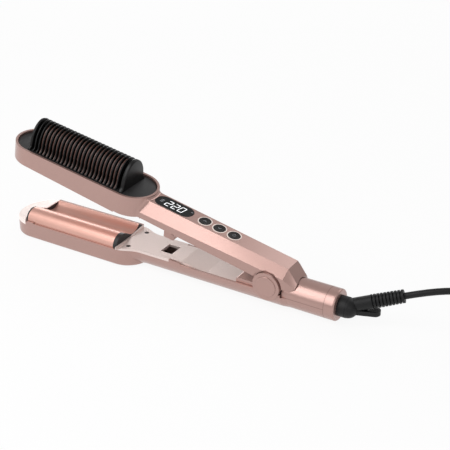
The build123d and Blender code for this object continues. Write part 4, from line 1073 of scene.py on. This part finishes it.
@dataclass
class CoverScrews:
    """Black crosses on the heads of the two screws of the lower cover, as painted shade of their
    crossed recesses.
    """

    along: float = -145.3
    across: float = 14.9
    arm_length: float = 1.3
    arm_width: float = 0.55

    def build(self) -> None:
        """Builds both crosses, just proud of the heads."""
        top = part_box("lower_cover_screws")[1][2] / MM
        crosses = []
        for number, way in enumerate((-1, 1)):
            for turned in (0.6, 0.6 + math.pi / 2):
                direction = np.array([math.cos(turned), math.sin(turned)])
                side = np.array([-direction[1], direction[0]]) * self.arm_width / 2
                ends = direction * self.arm_length
                loop = np.array([-ends - side, ends - side, ends + side, -ends + side])
                loop += (arm.hinge_x + self.along, way * self.across)
                low = np.c_[loop, np.full(4, top - 0.1)]
                high = np.c_[loop, np.full(4, top + 0.03)]
                crosses.append(
                    Surface.grid(
                        f"cross_{number}", np.stack([low, high]) * MM, wrap_columns=True, caps=True
                    )
                )
        piece = Surface.join("cover_screw_recess_shade", crosses)
        # The black on the crosses is painted shade of the recesses.
        wardrobe.dress(piece, Finish.BLACK)
        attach(piece, "lower_arm")
        log.info("screws: 2 crossed recesses")


NODE_FINISHES: dict[Finish, tuple[str, ...]] = {
    Finish.ROSE: (
        "lower_shell", "hinge_cap_front", "hinge_cap_back", "hinge_shroud", "tail_cover",
        "tail_collar", "upper_shell", "upper_tip_cover", "latch_hook",
    ),
    # The tip cap's pale lacquer carries a painted sheen.
    Finish.TIP_PAINTED_SHEEN: ("lower_tip_cap",),
    Finish.PALE_ROSE: ("lower_inner_cover", "upper_head_cover", "upper_inner_cover"),
    Finish.COPPER: ("lower_wave_plate", "upper_wave_plate"),
    Finish.BLACK: (
        "lower_tip_end_cap", "lower_rear_end_cap", "upper_tip_end_cap", "upper_rear_end_cap",
        "lower_heater_carrier", "lock_retainer", "lock_slider", "contact_block",
        "tact_switches",
    ),
    Finish.COMB_SHADED: ("comb_guard",),
    Finish.TOOTH: ("comb_heated_teeth",),
    Finish.BUTTON: ("button_up", "button_down", "button_power"),
    Finish.PANE: ("display_window",),
    Finish.LIGHT_RING: ("button_bezels",),
    Finish.STEEL: ("hinge_pin", "hinge_spring", "upper_cover_screws", "thermal_fuse"),
    Finish.DARK_STEEL: ("lower_cover_screws",),
    Finish.BRASS: ("contact_rings", "plug_pins"),
    Finish.CERAMIC: ("lower_heater", "upper_heater"),
    Finish.BOARD: ("control_board",),
    Finish.WHITE_BODY: ("display_module",),
    Finish.SHEATH: (
        "lower_wires", "upper_heater_leads", "cord_lead", "cord_coil", "cord_tail", "cord_tie",
        "plug_body",
    ),
    Finish.RUBBER: ("swivel_elbow", "strain_relief"),
}


def dress_nodes() -> None:
    """Gives every CAD node its finish, and stops at a node without one."""
    left = set(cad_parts)
    for finish, names in NODE_FINISHES.items():
        for name in names:
            wardrobe.dress(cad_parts[name], finish)
            left.discard(name)
    if left:
        raise ValueError(f"nodes without a finish: {sorted(left)}")
    log.info("dressed %d nodes", len(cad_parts))


@dataclass
class Studio:
    """Pale floor, soft lamps and the camera at the photograph's angle."""

    azimuth: float = 31.1
    elevation: float = 28.1
    distance: float = 1.0
    target: tuple[float, float, float] = (0.0578, 0.0, 0.0597)
    lens: float = 91.88
    ambient: float = 0.5
    floor_half: float = 5.0
    floor_drop: float = 0.0006
    floor_grey: float = 0.86
    floor_lit: float = 0.9

    def floor(self) -> None:
        """A wide floor that shows near white and keeps a soft shadow."""
        corners = self.floor_half * np.array([(-1, -1, 0), (1, -1, 0), (1, 1, 0), (-1, 1, 0)])
        mesh = bpy.data.meshes.new("floor")
        mesh.from_pydata((corners - (0, 0, self.floor_drop)).tolist(), [], [[0, 1, 2, 3]])
        made = bpy.data.objects.new("floor", mesh)
        bpy.context.scene.collection.objects.link(made)
        material = bpy.data.materials.new("pale_floor")
        material.use_nodes = True
        tree = material.node_tree
        tree.nodes.clear()
        output = tree.nodes.new("ShaderNodeOutputMaterial")
        matt = tree.nodes.new("ShaderNodeBsdfDiffuse")
        matt.inputs["Color"].default_value = (*[self.floor_grey] * 3, 1)
        lit = tree.nodes.new("ShaderNodeEmission")
        lit.inputs["Color"].default_value = (1, 1, 1, 1)
        rays = tree.nodes.new("ShaderNodeLightPath")
        seen = tree.nodes.new("ShaderNodeMath")
        seen.operation = "MAXIMUM"
        tree.links.new(rays.outputs["Is Camera Ray"], seen.inputs[0])
        tree.links.new(rays.outputs["Is Glossy Ray"], seen.inputs[1])
        share = tree.nodes.new("ShaderNodeMath")
        share.operation = "MULTIPLY"
        share.inputs[1].default_value = self.floor_lit
        tree.links.new(seen.outputs[0], share.inputs[0])
        mix = tree.nodes.new("ShaderNodeMixShader")
        tree.links.new(share.outputs[0], mix.inputs[0])
        tree.links.new(matt.outputs[0], mix.inputs[1])
        tree.links.new(lit.outputs[0], mix.inputs[2])
        tree.links.new(mix.outputs[0], output.inputs["Surface"])
        mesh.materials.append(material)

    def world(self) -> None:
        """White where it is seen or reflected, and a plain level of light elsewhere."""
        world = bpy.data.worlds.new("studio")
        bpy.context.scene.world = world
        world.use_nodes = True
        tree = world.node_tree
        tree.nodes.clear()
        output = tree.nodes.new("ShaderNodeOutputWorld")
        rays = tree.nodes.new("ShaderNodeLightPath")
        seen = tree.nodes.new("ShaderNodeMath")
        seen.operation = "MAXIMUM"
        tree.links.new(rays.outputs["Is Camera Ray"], seen.inputs[0])
        tree.links.new(rays.outputs["Is Transmission Ray"], seen.inputs[1])
        plain = tree.nodes.new("ShaderNodeBackground")
        plain.inputs["Strength"].default_value = self.ambient
        white = tree.nodes.new("ShaderNodeBackground")
        mix = tree.nodes.new("ShaderNodeMixShader")
        for background in (plain, white):
            background.inputs["Color"].default_value = (1, 1, 1, 1)
        tree.links.new(seen.outputs[0], mix.inputs[0])
        tree.links.new(plain.outputs[0], mix.inputs[1])
        tree.links.new(white.outputs[0], mix.inputs[2])
        tree.links.new(mix.outputs[0], output.inputs["Surface"])

    def lamp(self, name: str, place: Sequence[float], power: float, size: float) -> None:
        """One soft square lamp that faces the object.

        Args:
            name: The lamp's name.
            place: Where it hangs, in metres.
            power: Watts.
            size: Side of the square, in metres.
        """
        light = bpy.data.lights.new(name, "AREA")
        light.energy = power
        light.size = size
        made = bpy.data.objects.new(name, light)
        made.location = place
        aim = Vector(self.target) - Vector(place)
        made.rotation_euler = aim.to_track_quat("-Z", "Y").to_euler()
        bpy.context.scene.collection.objects.link(made)

    def camera(self) -> None:
        """The camera at the photograph's angle and distance."""
        turn, rise = math.radians(self.azimuth), math.radians(self.elevation)
        back = Vector(
            (math.sin(turn) * math.cos(rise), -math.cos(turn) * math.cos(rise), math.sin(rise))
        )
        data = bpy.data.cameras.new("camera")
        data.lens = self.lens
        data.sensor_width = 36.0
        data.sensor_fit = "AUTO"
        data.clip_start, data.clip_end = 0.05, 30.0
        made = bpy.data.objects.new("camera", data)
        made.location = Vector(self.target) + back * self.distance
        made.rotation_euler = (-back).to_track_quat("-Z", "Y").to_euler()
        bpy.context.scene.collection.objects.link(made)
        bpy.context.scene.camera = made

    def build(self) -> None:
        """Sets floor, light, camera and the plain view transform."""
        self.floor()
        self.world()
        self.lamp("key", (-0.45, -0.6, 1.1), 5.5, 0.7)
        self.lamp("front", (-0.33, -0.97, 0.6), 3.2, 0.6)
        self.lamp("fill", (1.3, -1.2, 0.9), 5.0, 1.0)
        self.lamp("back", (0.2, 1.4, 1.2), 5.0, 1.0)
        self.lamp("low", (-0.95, 1.15, 0.3), 3.0, 0.5)
        self.camera()
        bpy.context.scene.view_settings.view_transform = "Standard"
        log.info("studio: floor, world, 5 lamps and camera")


def main() -> None:
    """Builds the studio, dresses the nodes and builds each sub-assembly."""
    logging.basicConfig(level=logging.INFO, format="%(name)s: %(message)s")
    Studio().build()
    dress_nodes()
    sleeve = Sleeve()
    cord = MainsCord()
    way = np.array(cord.lead[1]) - np.array(cord.lead[0])
    sleeve.build(way / np.linalg.norm(way))
    cord.build()
    Comb().build()
    NeckCove().build()
    Display().build()
    ButtonRow().build()
    TailSeams().build()
    CoverScrews().build()


if __name__ == "__main__":
    main()
